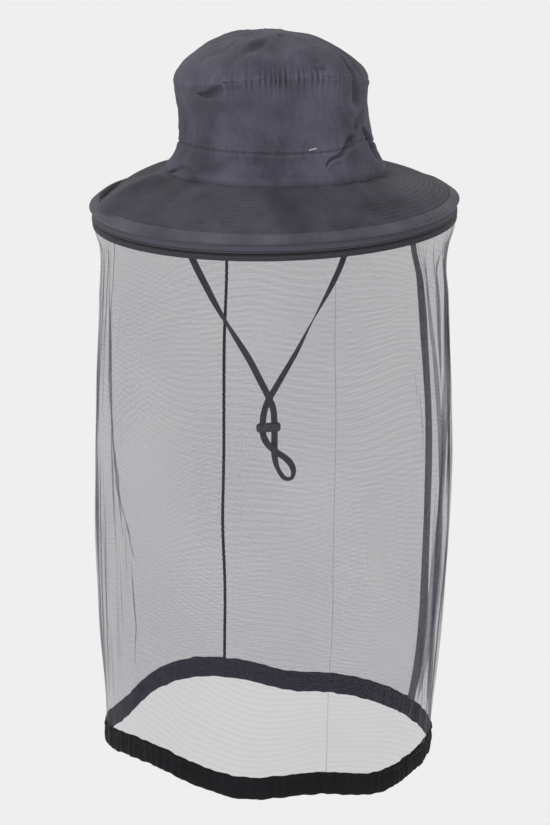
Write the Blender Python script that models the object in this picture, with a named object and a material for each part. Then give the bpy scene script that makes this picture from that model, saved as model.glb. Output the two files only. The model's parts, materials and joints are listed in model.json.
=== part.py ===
"""Soft bucket hat with a zip-on net veil, an elasticated hem and a sliding chin strap.

Metres, +Z up, the wearer faces -Y. The origin is the centre of the head opening, at the seam
between the crown and the brim.
"""

from math import cos, pi, radians, sin

import bmesh
import bpy
from mathutils import Matrix, Vector

# Joins and cloth
GAP = 0.0003  # left between pieces that touch
FABRIC = 0.0009  # hat fabric, with its lining
RING_SIDES = 48
ZIP_SIDES = 96

# Crown: half widths across (X) and front to back (Y) at each seam
BASE_X, BASE_Y = 0.093, 0.104
BAND_TOP = 0.028
RIM_X, RIM_Y = 0.085, 0.0975
RIM_HEIGHT = 0.085  # mean height of the seam round the tip
RIM_DROOP = 0.006  # the seam hangs this much lower at the sides and higher front and back
APEX_HEIGHT = 0.121
CROWN_SEAM_AT = radians(-55)  # the side seam at the wearer's left temple; the other is opposite
BAND_PROFILE = (
    (0.0, BASE_X, BASE_Y), (0.007, 0.0895, 0.101), (0.016, 0.0845, 0.097), (BAND_TOP, 0.0825, 0.0955),
)
WALL_PROFILE = ((BAND_TOP, 0.0825, 0.0955), (0.046, 0.0815, 0.0945), (0.064, 0.0828, 0.0957))
SWEATBAND_HEIGHT = 0.024
SWEATBAND_THICKNESS = 0.0008

# Brim: its edge is a circle in a plane that dips towards one front corner
RING_RADIUS = 0.159
RING_CENTRE = Vector((0.0, 0.002, -0.026))
RING_DIP = radians(3.8)
RING_DIP_TOWARDS = radians(234)
BRIM_BULGE_FRONT = 0.002
BRIM_BULGE_BACK = 0.008
BRIM_STATIONS = (0.015, 0.3, 0.6, 0.88, 0.995)
BRIM_LAYERS = {
    "brim_top": (0.0010, 0.0016),
    "brim_interfacing": (-0.0004, 0.0004),
    "brim_under": (-0.0016, -0.0010),
}
BINDING_WALL = 0.0007
BINDING_OVERHANG = 0.012  # past the brim's edge, as a share of the brim's width

# Zip, by height under the ring plane, and by radius
TAPE_RADIUS = RING_RADIUS - 0.0011
TAPE_THICKNESS = 0.0007
COIL_THICKNESS = 0.002
UPPER_TAPE = (-0.0071, -0.0029)
UPPER_COIL = (-0.0084, -0.0074)
LOWER_COIL = (-0.0106, -0.0096)
LOWER_TAPE = (-0.0152, -0.0109)
ZIP_ENDS_AT = radians(118)
ZIP_END_GAP = radians(1.2)
SLIDER_AT = radians(127)
SLIDER_LENGTH = 0.009
SLIDER_PLATE = 0.0008
PLATE_CLEARANCE = 0.0005
SLIDER_HEIGHT = 0.0054
WEDGE_HEIGHT = 0.0006
LUG_HEIGHT = 0.0006
LUG_WIDTH = 0.0022
LUG_PAST_PIN = 0.0009
PIN_OUT = 0.0042  # the pull's pin, outwards from the middle of the tape
PIN_RADIUS = 0.0004
PULL_LENGTH = 0.024
PULL_WIDTH = 0.0055
PULL_THICKNESS = 0.0012
KNUCKLE_RADIUS = 0.0013
KNUCKLE_BORE = 0.0007
KNUCKLE_LENGTH = 0.0032
STOP_SIZE = (0.0009, 0.003, 0.0022)
STOP_PAST_END = radians(2.4)
START_BOX_SIZE = (0.0013, 0.005, 0.0038)
START_BOX_PAST_END = radians(2.6)

# Veil: the net's radius at each height, and how far it drifts towards the wearer's right
NET_THICKNESS = 0.0005
NET_TOP_RADIUS = 0.1569
NET_TOP_UNDER_RING = -0.0121
NET_PROFILE = (
    (-0.062, 0.1515), (-0.110, 0.1515), (-0.190, 0.1545), (-0.300, 0.1548), (-0.400, 0.1516),
    (-0.490, 0.1473), (-0.498, 0.1473),
)
DRIFT_STARTS = -0.03
NET_DRIFT = Vector((-0.0062, 0.0019, 0.0))
HEM_BOTTOM = -0.513
HEM_TOP = -0.493
HEM_RADIUS = 0.1475
HEM_THICKNESS = 0.004
HEM_WALL = 0.0007
HEM_ROUNDING = 0.001
ELASTIC_RISE, ELASTIC_HEIGHT, ELASTIC_THICKNESS = 0.002, 0.010, 0.0008
JOIN_TAB_HALF_ANGLE = 0.035
JOIN_TAB_THICKNESS = 0.0006
BACK_SEAM_AT = radians(90)
SIDE_SEAM_AT = radians(12)
FRONT_SEAM_AT = radians(-87)
BACK_SEAM_WIDTH, SIDE_SEAM_WIDTH, FRONT_SEAM_WIDTH = 0.0025, 0.0055, 0.0015
SEAM_THICKNESS = 0.0005
SEAM_CLEARANCE = GAP + 0.0007  # the net's facets lie a little inside their edges
VEIL_BINDING_THICKNESS = 0.0006

# Chin strap
STRAP_WIDTH, STRAP_THICKNESS = 0.006, 0.0012
ANCHOR_X, STRAP_Y = 0.0845, 0.020
ANCHOR_HALF_WIDTH, ANCHOR_HALF_THICKNESS = 0.0042, 0.00045
ANCHOR_PATH = ((0.0795, 0.0105), (0.0826, 0.0040), (ANCHOR_X, -0.0030))  # X and Z down the tab
SWING_AXIS_Z = 0.008
TOGGLE_CENTRE = Vector((0.0, STRAP_Y, -0.233))
TOGGLE_SIZE = Vector((0.0225, 0.0062, 0.0086))
SLOT_SIZE = Vector((0.0068, 0.0022, 0.012))
SLOT_X = 0.0056
STRAP_POINTS = 44
LEFT_ROUTE = (
    (-0.0845, 0.0200, -0.0033), (-0.0838, 0.0200, -0.0250), (-0.0788, 0.0199, -0.0520),
    (-0.0692, 0.0197, -0.0764), (-0.0576, 0.0194, -0.1006), (-0.0449, 0.0192, -0.1249),
    (-0.0302, 0.0190, -0.1493), (-0.0181, 0.0189, -0.1693), (-0.0079, 0.0188, -0.1894),
    (-0.0006, 0.0188, -0.2039), (0.0042, 0.0194, -0.2160), (0.0056, 0.0200, -0.2302),
)
RIGHT_ROUTE = (
    (0.0845, 0.0200, -0.0033), (0.0838, 0.0200, -0.0250), (0.0800, 0.0200, -0.0480),
    (0.0749, 0.0201, -0.0657), (0.0686, 0.0202, -0.0865), (0.0600, 0.0204, -0.1052),
    (0.0478, 0.0206, -0.1270), (0.0377, 0.0208, -0.1448), (0.0275, 0.0210, -0.1639),
    (0.0154, 0.0212, -0.1839), (0.0052, 0.0212, -0.2003), (-0.0006, 0.0212, -0.2100),
    (-0.0043, 0.0206, -0.2207), (-0.0056, 0.0200, -0.2302),
)
LOOP_ROUTE = (
    (-0.0056, 0.0200, -0.2358), (-0.0046, 0.0197, -0.2410), (-0.0018, 0.0190, -0.2470),
    (0.0025, 0.0182, -0.2522), (0.0085, 0.0180, -0.2570), (0.0155, 0.0185, -0.2622),
    (0.0213, 0.0192, -0.2690), (0.0236, 0.0200, -0.2765), (0.0216, 0.0206, -0.2822),
    (0.0166, 0.0212, -0.2822), (0.0117, 0.0217, -0.2768), (0.0082, 0.0220, -0.2695),
    (0.0064, 0.0220, -0.2610), (0.0060, 0.0216, -0.2520), (0.0058, 0.0206, -0.2430),
    (0.0056, 0.0200, -0.2358),
)


# ---------------------------------------------------------------- materials


def finish(name, colour, roughness, metallic=0.0):
    material = bpy.data.materials.new(name)
    material.use_nodes = True
    surface = material.node_tree.nodes["Principled BSDF"]
    surface.inputs["Base Color"].default_value = (*colour, 1.0)
    surface.inputs["Roughness"].default_value = roughness
    surface.inputs["Metallic"].default_value = metallic
    return material


def make_finishes():
    return {
        "hat_fabric": finish("hat_fabric", (0.083, 0.083, 0.098), 0.9),
        "brim_fabric": finish("brim_fabric", (0.062, 0.062, 0.074), 0.85),
        "lining": finish("lining", (0.045, 0.045, 0.052), 0.9),
        "label": finish("label", (0.5, 0.5, 0.53), 0.7),
        "zip_tape": finish("zip_tape", (0.060, 0.060, 0.070), 0.8),
        "zip_plastic": finish("zip_plastic", (0.030, 0.030, 0.034), 0.45),
        "zip_metal": finish("zip_metal", (0.10, 0.10, 0.11), 0.4, 0.9),
        "net": finish("net", (0.045, 0.045, 0.052), 0.7),
        "hem_fabric": finish("hem_fabric", (0.020, 0.020, 0.024), 0.85),
        "strap": finish("strap", (0.030, 0.030, 0.032), 0.85),
        "toggle_plastic": finish("toggle_plastic", (0.028, 0.028, 0.030), 0.5),
    }


# ---------------------------------------------------------------- mesh tools


def add_object(name, shape, material):
    """Turns a bmesh into a named object with outward faces and smooth round sides."""
    bmesh.ops.recalc_face_normals(shape, faces=shape.faces)
    mesh = bpy.data.meshes.new(name)
    shape.to_mesh(mesh)
    shape.free()
    mesh.shade_smooth()
    mesh.set_sharp_from_angle(angle=radians(35))
    mesh.materials.append(material)
    built = bpy.data.objects.new(name, mesh)
    bpy.context.scene.collection.objects.link(built)
    return built


def add_sweep(name, sections, material, closed):
    """Joins a row of equal closed sections, in a ring or with a cap on each end."""
    shape = bmesh.new()
    rows = [[shape.verts.new(point) for point in section] for section in sections]
    count = len(rows[0])
    pairs = zip(rows, rows[1:] + rows[:1]) if closed else zip(rows, rows[1:])
    for first, second in pairs:
        for i in range(count):
            j = (i + 1) % count
            shape.faces.new((first[i], first[j], second[j], second[i]))
    if not closed:
        add_cap(shape, rows[0])
        add_cap(shape, rows[-1][::-1])
    return add_object(name, shape, material)


def add_cap(shape, row):
    """Closes an end like a ladder, from one half of the section to the half that runs back beside it."""
    low, high = 0, len(row) - 1
    while high - low >= 2:
        corners = [row[low], row[low + 1], row[high - 1], row[high]]
        shape.faces.new(corners if low + 1 < high - 1 else [*corners[:2], corners[3]])
        low, high = low + 1, high - 1


def ring_angles(sides):
    return [2 * pi * i / sides for i in range(sides)]


def arc_angles(start, end, steps):
    return [start + (end - start) * i / steps for i in range(steps + 1)]


def panel_angles(start, end):
    """Angles from start to end that also hit every facet edge of a full ring in between."""
    step = 2 * pi / RING_SIDES
    ring = [step * i for i in range(-RING_SIDES, 2 * RING_SIDES)]
    return [start, *(at for at in ring if start + 0.2 * step < at < end - 0.2 * step), end]


def catmull_rom(a, b, c, d, t):
    """A point a share t of the way from b to c, on the smooth curve through all four."""
    square = 2 * a - 5 * b + 4 * c - d
    cube = 3 * b - a - 3 * c + d
    return 0.5 * (2 * b + (c - a) * t + square * t**2 + cube * t**3)


def smooth_route(route, count):
    """Points evenly spaced along a smooth curve through the route."""
    points = [Vector(point) for point in route]
    padded = [2 * points[0] - points[1], *points, 2 * points[-1] - points[-2]]
    dense = []
    for corners in zip(padded, padded[1:], padded[2:], padded[3:]):
        dense += [catmull_rom(*corners, step / 12) for step in range(12)]
    dense.append(points[-1])
    lengths = [0.0]
    for first, second in zip(dense, dense[1:]):
        lengths.append(lengths[-1] + (second - first).length)
    even = []
    at = 0
    for i in range(count):
        goal = lengths[-1] * i / (count - 1)
        while at < len(dense) - 2 and lengths[at + 1] < goal:
            at += 1
        share = (goal - lengths[at]) / (lengths[at + 1] - lengths[at])
        even.append(dense[at].lerp(dense[at + 1], share))
    return even


def add_tape(name, route, turns, material, count=STRAP_POINTS):
    """A flat tape along a route. turns holds its twist in degrees, 0 with its flat side to -Y."""
    points = smooth_route(route, count)
    sections = []
    for i, point in enumerate(points):
        along = (points[min(i + 1, count - 1)] - points[max(i - 1, 0)]).normalized()
        across = along.cross(Vector((0, 1, 0))).normalized()
        place = i / (count - 1) * (len(turns) - 1)
        low = min(int(place), len(turns) - 2)
        share = place - low
        share = share * share * (3 - 2 * share)
        twist = Matrix.Rotation(radians(turns[low] * (1 - share) + turns[low + 1] * share), 3, along)
        side = twist @ across * (STRAP_WIDTH / 2)
        face = twist @ across.cross(along) * (STRAP_THICKNESS / 2)
        sections.append([point + side + face, point - side + face, point - side - face, point + side - face])
    return add_sweep(name, sections, material, closed=False)


def add_box(name, centre, size, material, turn=None, bevel=0.0):
    """A box with rounded edges, turned about its own centre by a matrix."""
    shape = bmesh.new()
    bmesh.ops.create_cube(shape, size=1.0)
    bmesh.ops.scale(shape, vec=size, verts=shape.verts)
    if bevel:
        bmesh.ops.bevel(shape, geom=shape.edges, offset=bevel, segments=2, profile=0.5, affect="EDGES")
    bmesh.ops.transform(shape, matrix=turn or Matrix.Identity(4), verts=shape.verts)
    bmesh.ops.translate(shape, vec=centre, verts=shape.verts)
    return add_object(name, shape, material)


# ---------------------------------------------------------------- crown


def oval(half_x, half_y, angle, height):
    return Vector((half_x * cos(angle), half_y * sin(angle), height))


def rim_height(angle):
    return RIM_HEIGHT - RIM_DROOP * cos(2 * angle)


def shell_section(profile, angle, thickness, inset=0.0):
    """The outer line of a profile up, then back down a thickness further in."""
    outer = [oval(x - inset, y - inset, angle, z) for z, x, y in profile]
    inner = [oval(x - inset - thickness, y - inset - thickness, angle, z) for z, x, y in reversed(profile)]
    return outer + inner


def clipped(profile, low, high):
    """The profile with its two end heights moved to low and high."""
    (_, *first), *middle, (_, *last) = profile
    return [(low, *first), *middle, (high, *last)]


def wall_section(angle):
    top = (rim_height(angle) - GAP / 2, RIM_X, RIM_Y)
    return shell_section(clipped((*WALL_PROFILE, top), BAND_TOP + GAP / 2, top[0]), angle, FABRIC)


def band_section(angle):
    return shell_section(clipped(BAND_PROFILE, GAP, BAND_TOP - GAP / 2), angle, FABRIC)


def add_crown_halves(name, section, material):
    """A front and a rear half that meet at the two side seams."""
    trim = GAP / 2 / RIM_X
    for side, start in (("front", CROWN_SEAM_AT - pi), ("rear", CROWN_SEAM_AT)):
        angles = panel_angles(start + trim, start + pi - trim)
        add_sweep(f"{name}_{side}", [section(angle) for angle in angles], material, closed=False)


def dome_height(share, angle):
    """Height of the tip at a share of the way out from its centre: steep at the rim, flat on top."""
    rim = rim_height(angle) + GAP / 2
    return rim + (APEX_HEIGHT - rim) * (1 - share**2.6) ** 0.75


def add_crown_tip(material):
    shape = bmesh.new()
    shares = (0.25, 0.5, 0.72, 0.87, 0.96, 1.0)
    angles = ring_angles(RING_SIDES)
    poles = [shape.verts.new((0, 0, APEX_HEIGHT)), shape.verts.new((0, 0, APEX_HEIGHT - FABRIC))]
    skins = []
    for depth in (0.0, FABRIC):
        rows = []
        for share in shares:
            drop = depth if share < 1 else 0.0
            half_x, half_y = share * (RIM_X - depth), share * (RIM_Y - depth)
            row = [oval(half_x, half_y, angle, dome_height(share, angle) - drop) for angle in angles]
            rows.append([shape.verts.new(point) for point in row])
        skins.append(rows)
    for pole, rows in zip(poles, skins):
        for i in range(RING_SIDES):
            j = (i + 1) % RING_SIDES
            shape.faces.new((pole, rows[0][i], rows[0][j]))
            for inner, outer in zip(rows, rows[1:]):
                shape.faces.new((inner[i], outer[i], outer[j], inner[j]))
    for i in range(RING_SIDES):
        j = (i + 1) % RING_SIDES
        shape.faces.new((skins[0][-1][i], skins[1][-1][i], skins[1][-1][j], skins[0][-1][j]))
    add_object("crown_tip", shape, material)


def add_sweatband(material):
    """Follows the inside of the lower band."""
    profile = clipped(BAND_PROFILE, 0.0010, SWEATBAND_HEIGHT)
    inset = FABRIC + 2 * GAP
    angles = ring_angles(RING_SIDES)
    sections = [shell_section(profile, angle, SWEATBAND_THICKNESS, inset) for angle in angles]
    add_sweep("sweatband", sections, material, closed=True)


def add_label(material):
    """A small plain tab on the front wall, just above the lower seam."""
    section_height, half_length = 0.0022, 0.0045
    sections = []
    for angle in arc_angles(radians(-90), radians(-90) + 2 * half_length / RIM_Y, 3):
        low = oval(0.0822 + GAP, 0.0952 + GAP, angle, 0.0302)
        out = oval(0.0006, 0.0006, angle, 0.0)
        high = low + Vector((0, 0, section_height))
        sections.append([low, low + out, high + out, high])
    add_sweep("label_tab", sections, material, closed=False)


def build_crown(finishes):
    add_crown_tip(finishes["hat_fabric"])
    add_crown_halves("crown_wall", wall_section, finishes["hat_fabric"])
    add_crown_halves("crown_band", band_section, finishes["hat_fabric"])
    add_sweatband(finishes["lining"])
    add_label(finishes["label"])


# ---------------------------------------------------------------- brim


def ring_frame():
    """Axes of the brim's edge circle: its own +Z is the ring's axis, and its angles match the world's."""
    tip_axis = Vector((-sin(RING_DIP_TOWARDS), cos(RING_DIP_TOWARDS), 0))
    return Matrix.Translation(RING_CENTRE) @ Matrix.Rotation(RING_DIP, 4, tip_axis)


def on_ring(radius, angle, height=0.0):
    return ring_frame() @ Vector((radius * cos(angle), radius * sin(angle), height))


def brim_middle(angle, share):
    """The middle surface of the brim, from the crown seam (0) to the edge (1)."""
    inner = oval(BASE_X, BASE_Y, angle, 0.0)
    outer = on_ring(RING_RADIUS, angle)
    point = inner.lerp(outer, share)
    back = 0.5 + 0.5 * sin(angle)
    bulge = BRIM_BULGE_FRONT + (BRIM_BULGE_BACK - BRIM_BULGE_FRONT) * back
    point.z += 4 * bulge * share * (1 - share)
    return point


def brim_point(angle, share, offset):
    """A point a little above or below the brim's middle surface, square to it."""
    step = 0.01
    out = brim_middle(angle, share + step) - brim_middle(angle, share - step)
    around = brim_middle(angle + step, share) - brim_middle(angle - step, share)
    return brim_middle(angle, share) + out.cross(around).normalized() * offset


def add_brim_layers(finishes):
    looks = {"brim_top": "brim_fabric", "brim_interfacing": "lining", "brim_under": "brim_fabric"}
    for name, (low, high) in BRIM_LAYERS.items():
        sections = []
        for angle in ring_angles(RING_SIDES):
            over = [brim_point(angle, share, high) for share in BRIM_STATIONS]
            under = [brim_point(angle, share, low) for share in reversed(BRIM_STATIONS)]
            sections.append(over + under)
        add_sweep(name, sections, finishes[looks[name]], closed=True)


def add_brim_binding(material):
    """A strip folded round the edge of the brim, open towards the crown."""
    inner_face = BRIM_LAYERS["brim_top"][1] + GAP
    outer_face = inner_face + BINDING_WALL
    bottom, lip, edge = BRIM_STATIONS[3], 1.0, 1.0 + BINDING_OVERHANG
    outline = (
        (bottom, outer_face), (lip, outer_face), (edge, inner_face), (edge, -inner_face),
        (lip, -outer_face), (bottom, -outer_face), (bottom, -inner_face), (lip, -inner_face),
        (lip, inner_face), (bottom, inner_face),
    )
    sections = [[brim_point(angle, *place) for place in outline] for angle in ring_angles(RING_SIDES)]
    add_sweep("brim_edge_binding", sections, material, closed=True)


# ---------------------------------------------------------------- zip


def add_zip_row(name, heights, thickness, material):
    """One flat row of the zip: a band round the ring that stops short at the zip's ends."""
    start = ZIP_ENDS_AT + ZIP_END_GAP
    end = ZIP_ENDS_AT + 2 * pi - ZIP_END_GAP
    inner, outer = TAPE_RADIUS - thickness / 2, TAPE_RADIUS + thickness / 2
    low, high = heights
    sections = []
    for angle in arc_angles(start, end, ZIP_SIDES):
        corners = ((inner, low), (outer, low), (outer, high), (inner, high))
        sections.append([on_ring(radius, angle, height) for radius, height in corners])
    add_sweep(name, sections, material, closed=False)


def zip_place(angle, radius, height):
    """A frame on the ring: X outwards, Y along the zip, Z along the ring's axis."""
    return ring_frame() @ Matrix.Rotation(angle, 4, "Z") @ Matrix.Translation((radius, 0, height))


def combine(base, other, operation):
    """Joins a helper shape to the base, or cuts the base with it."""
    other.hide_render = True
    other.display_type = "WIRE"
    change = base.modifiers.new(other.name, "BOOLEAN")
    change.operation = operation
    change.object = other


def placed_box(name, place, centre, size, material):
    box = add_box(name, Vector((0, 0, 0)), Vector(size), material)
    box.data.transform(place @ Matrix.Translation(centre))
    return box


def placed_rod(name, place, radius, length, material):
    """A round rod along the place's Z axis."""
    shape = bmesh.new()
    bmesh.ops.create_cone(shape, cap_ends=True, segments=16, radius1=radius, radius2=radius, depth=length)
    bmesh.ops.transform(shape, matrix=place, verts=shape.verts)
    return add_object(name, shape, material)


def coil_gap_height():
    """The middle of the slot between the two rows of coils."""
    return (UPPER_COIL[0] + LOWER_COIL[1]) / 2


def add_slider(material):
    """Two plates over the coils, a thin wedge between the rows, and two lugs with the pull's pin."""
    place = zip_place(SLIDER_AT, TAPE_RADIUS, coil_gap_height())
    reach = COIL_THICKNESS / 2 + PLATE_CLEARANCE + SLIDER_PLATE / 2
    plate = (SLIDER_PLATE, SLIDER_LENGTH, SLIDER_HEIGHT)
    lug_at = SLIDER_HEIGHT / 2 - LUG_HEIGHT / 2
    lug_tip = PIN_OUT + LUG_PAST_PIN
    lug_middle = (reach + lug_tip) / 2
    lug = (lug_tip - reach, LUG_WIDTH, LUG_HEIGHT)
    slider = placed_box("zip_slider", place, (reach, 0, 0), plate, material)
    joins = [
        placed_box("slider_inner_plate", place, (-reach, 0, 0), plate, material),
        placed_box("slider_wedge", place, (0, 0, 0), (2 * reach, SLIDER_LENGTH / 2, WEDGE_HEIGHT), material),
        placed_box("slider_upper_lug", place, (lug_middle, 0, lug_at), lug, material),
        placed_box("slider_lower_lug", place, (lug_middle, 0, -lug_at), lug, material),
        placed_rod("slider_pin", pull_pivot(), PIN_RADIUS, SLIDER_HEIGHT - LUG_HEIGHT, material),
    ]
    for join in joins:
        combine(slider, join, "UNION")


def pull_pivot():
    return zip_place(SLIDER_AT, TAPE_RADIUS + PIN_OUT, coil_gap_height())


def add_pull(material):
    """A flat tab with a knuckle on the slider's pin, lying along the zip."""
    shape = bmesh.new()
    half = PULL_WIDTH / 2
    root = KNUCKLE_LENGTH / 2
    outline = [(root, 0.0010), (half, 0.0050)]
    outline += [(half * cos(a), PULL_LENGTH - half + half * sin(a)) for a in arc_angles(0, pi, 8)]
    outline += [(-half, 0.0050), (-root, 0.0010)]
    bottom = shape.faces.new([shape.verts.new((-PULL_THICKNESS / 2, y, z)) for z, y in outline])
    raised = bmesh.ops.extrude_face_region(shape, geom=[bottom])["geom"]
    lifted = [part for part in raised if isinstance(part, bmesh.types.BMVert)]
    bmesh.ops.translate(shape, vec=(PULL_THICKNESS, 0, 0), verts=lifted)
    bmesh.ops.transform(shape, matrix=pull_pivot(), verts=shape.verts)
    pull = add_object("zip_pull", shape, material)
    knuckle = placed_rod("pull_knuckle", pull_pivot(), KNUCKLE_RADIUS, KNUCKLE_LENGTH, material)
    bore = placed_rod("pull_bore", pull_pivot(), KNUCKLE_BORE, 2 * KNUCKLE_LENGTH, material)
    combine(pull, knuckle, "UNION")
    combine(pull, bore, "DIFFERENCE")


def add_zip_ends(material):
    """The stop beside the closed slider, and the box at the row's other end."""
    face = TAPE_RADIUS + TAPE_THICKNESS / 2 + GAP
    ends = (
        ("zip_end_stop", ZIP_ENDS_AT + STOP_PAST_END, sum(UPPER_TAPE) / 2, STOP_SIZE),
        ("zip_start_box", ZIP_ENDS_AT - START_BOX_PAST_END, sum(LOWER_TAPE) / 2, START_BOX_SIZE),
    )
    for name, angle, height, size in ends:
        place = zip_place(angle, face + size[0] / 2, height)
        add_box(name, Vector((0, 0, 0)), Vector(size), material, place, size[0] / 4)


def build_zip(finishes):
    add_zip_row("zip_upper_tape", UPPER_TAPE, TAPE_THICKNESS, finishes["zip_tape"])
    add_zip_row("zip_upper_coil", UPPER_COIL, COIL_THICKNESS, finishes["zip_plastic"])
    add_zip_row("zip_lower_coil", LOWER_COIL, COIL_THICKNESS, finishes["zip_plastic"])
    add_zip_row("zip_lower_tape", LOWER_TAPE, TAPE_THICKNESS, finishes["zip_tape"])
    add_slider(finishes["zip_metal"])
    add_pull(finishes["zip_metal"])
    add_zip_ends(finishes["zip_plastic"])


# ---------------------------------------------------------------- veil


def net_centre(height):
    """The net's centre drifts sideways as it hangs."""
    fall = min(max((DRIFT_STARTS - height) / (DRIFT_STARTS - HEM_BOTTOM), 0.0), 1.0)
    return RING_CENTRE.xy.to_3d() * (1 - fall) + NET_DRIFT * fall


def net_line(angle, outset):
    """Points down the net at one angle, from the zip to just above the hem casing."""
    line = [on_ring(NET_TOP_RADIUS + outset, angle, NET_TOP_UNDER_RING)]
    line.append(on_ring(NET_TOP_RADIUS + outset, angle, LOWER_TAPE[0] - 0.001))
    for height, radius in NET_PROFILE:
        line.append(net_centre(height) + oval(radius + outset, radius + outset, angle, height))
    return line


def net_section(angle, inner, outer):
    return net_line(angle, outer) + list(reversed(net_line(angle, inner)))


def add_net_panels(material):
    trim = GAP / NET_TOP_RADIUS
    edges = (
        ("net_panel_left", BACK_SEAM_AT, FRONT_SEAM_AT + 2 * pi),
        ("net_panel_right_rear", SIDE_SEAM_AT, BACK_SEAM_AT),
        ("net_panel_right_front", FRONT_SEAM_AT, SIDE_SEAM_AT),
    )
    for name, start, end in edges:
        angles = panel_angles(start + trim, end - trim)
        sections = [net_section(angle, 0.0, NET_THICKNESS) for angle in angles]
        add_sweep(name, sections, material, closed=False)


def add_net_seam(name, angle, width, material):
    """A narrow strip inside the net, over the join of two panels, down to the hem casing."""
    half = width / 2 / NET_TOP_RADIUS
    sections = []
    for at in (angle - half, angle + half):
        inner = net_line(at, -SEAM_CLEARANCE - SEAM_THICKNESS)[2:-1]
        outer = net_line(at, -SEAM_CLEARANCE)[2:-1]
        sections.append(inner + list(reversed(outer)))
    add_sweep(name, sections, material, closed=False)


def add_veil_binding(material):
    """Holds the gathered top of the net against the lower zip tape."""
    outer = NET_TOP_RADIUS - GAP
    inner = outer - VEIL_BINDING_THICKNESS
    low, high = LOWER_TAPE[0], NET_TOP_UNDER_RING
    corners = ((inner, low), (outer, low), (outer, high), (inner, high))
    sections = [[on_ring(radius, a, height) for radius, height in corners] for a in ring_angles(RING_SIDES)]
    add_sweep("veil_top_binding", sections, material, closed=True)


def hem_point(radius, angle, height):
    return net_centre(height) + oval(radius, radius, angle, height)


def add_hem_ring(name, outline, material):
    sections = [[hem_point(HEM_RADIUS + r, a, z) for r, z in outline] for a in ring_angles(RING_SIDES)]
    add_sweep(name, sections, material, closed=True)


def add_hem(finishes):
    """A folded casing, open along its top, with its elastic inside and a tab over its join."""
    half = HEM_THICKNESS / 2
    inside = half - HEM_WALL
    floor = HEM_BOTTOM + HEM_WALL
    casing = (
        (-half, HEM_BOTTOM + HEM_ROUNDING), (HEM_ROUNDING - half, HEM_BOTTOM),
        (half - HEM_ROUNDING, HEM_BOTTOM), (half, HEM_BOTTOM + HEM_ROUNDING), (half, HEM_TOP),
        (inside, HEM_TOP), (inside, floor), (-inside, floor), (-inside, HEM_TOP), (-half, HEM_TOP),
    )
    add_hem_ring("hem_casing", casing, finishes["hem_fabric"])
    low = floor + ELASTIC_RISE
    high = low + ELASTIC_HEIGHT
    edge = ELASTIC_THICKNESS / 2
    add_hem_ring("hem_elastic", ((-edge, low), (edge, low), (edge, high), (-edge, high)), finishes["strap"])
    add_join_tab(half + GAP, finishes["hem_fabric"])


def add_join_tab(inner, material):
    """Covers the join in the casing, on its outer side."""
    outer = inner + JOIN_TAB_THICKNESS
    low, high = HEM_BOTTOM + HEM_ROUNDING, HEM_TOP - HEM_ROUNDING
    corners = ((inner, low), (outer, low), (outer, high), (inner, high))
    angles = arc_angles(FRONT_SEAM_AT - JOIN_TAB_HALF_ANGLE, FRONT_SEAM_AT + JOIN_TAB_HALF_ANGLE, 2)
    sections = [[hem_point(HEM_RADIUS + r, a, z) for r, z in corners] for a in angles]
    add_sweep("hem_join_tab", sections, material, closed=False)


def build_veil(finishes):
    add_veil_binding(finishes["hem_fabric"])
    add_net_panels(finishes["net"])
    add_net_seam("net_back_seam", BACK_SEAM_AT, BACK_SEAM_WIDTH, finishes["hem_fabric"])
    add_net_seam("net_side_seam_tape", SIDE_SEAM_AT, SIDE_SEAM_WIDTH, finishes["hem_fabric"])
    add_net_seam("net_front_seam", FRONT_SEAM_AT, FRONT_SEAM_WIDTH, finishes["hem_fabric"])
    add_hem(finishes)


# ---------------------------------------------------------------- chin strap


def add_anchor(name, side, material):
    """A short web tab sewn inside the sweatband, at which the strap hangs and swings."""
    half = ANCHOR_HALF_THICKNESS
    front, back = STRAP_Y - ANCHOR_HALF_WIDTH, STRAP_Y + ANCHOR_HALF_WIDTH
    sections = []
    for x, z in ANCHOR_PATH:
        corners = ((half, back), (-half, back), (-half, front), (half, front))
        sections.append([Vector((side * x + reach, y, z)) for reach, y in corners])
    add_sweep(name, sections, material, closed=False)


def add_toggle(material):
    """A flat oval slide with a slot for each end of the strap."""
    half_x, radius, half_z = TOGGLE_SIZE / 2
    straight = half_x - radius
    outline = [(straight + radius * cos(a), radius * sin(a)) for a in arc_angles(-pi / 2, pi / 2, 8)]
    outline += [(radius * cos(a) - straight, radius * sin(a)) for a in arc_angles(pi / 2, 3 * pi / 2, 8)]
    sections = []
    for level, shrink in ((-1, 0.86), (-0.72, 1.0), (0.72, 1.0), (1, 0.86)):
        height = level * half_z
        sections.append([TOGGLE_CENTRE + Vector((x * shrink, y * shrink, height)) for x, y in outline])
    toggle = add_sweep("toggle", sections, material, closed=False)
    for side in (-1, 1):
        slot = add_box(f"slot_{side + 1}", TOGGLE_CENTRE + Vector((side * SLOT_X, 0, 0)), SLOT_SIZE, material)
        combine(toggle, slot, "DIFFERENCE")


def build_chin_strap(finishes):
    add_anchor("strap_anchor_left", -1, finishes["strap"])
    add_anchor("strap_anchor_right", 1, finishes["strap"])
    add_tape("chin_strap_left", LEFT_ROUTE, (80, 60, 20, 10, 0, 0), finishes["strap"])
    add_tape("chin_strap_right", RIGHT_ROUTE, (-80, -50, -40, -10, 0, 0), finishes["strap"])
    add_tape("chin_strap_loop", LOOP_ROUTE, (0, 25, 10, -35, -60, -25, 0), finishes["strap"], count=40)
    add_toggle(finishes["toggle_plastic"])


# ---------------------------------------------------------------- joints


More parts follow.
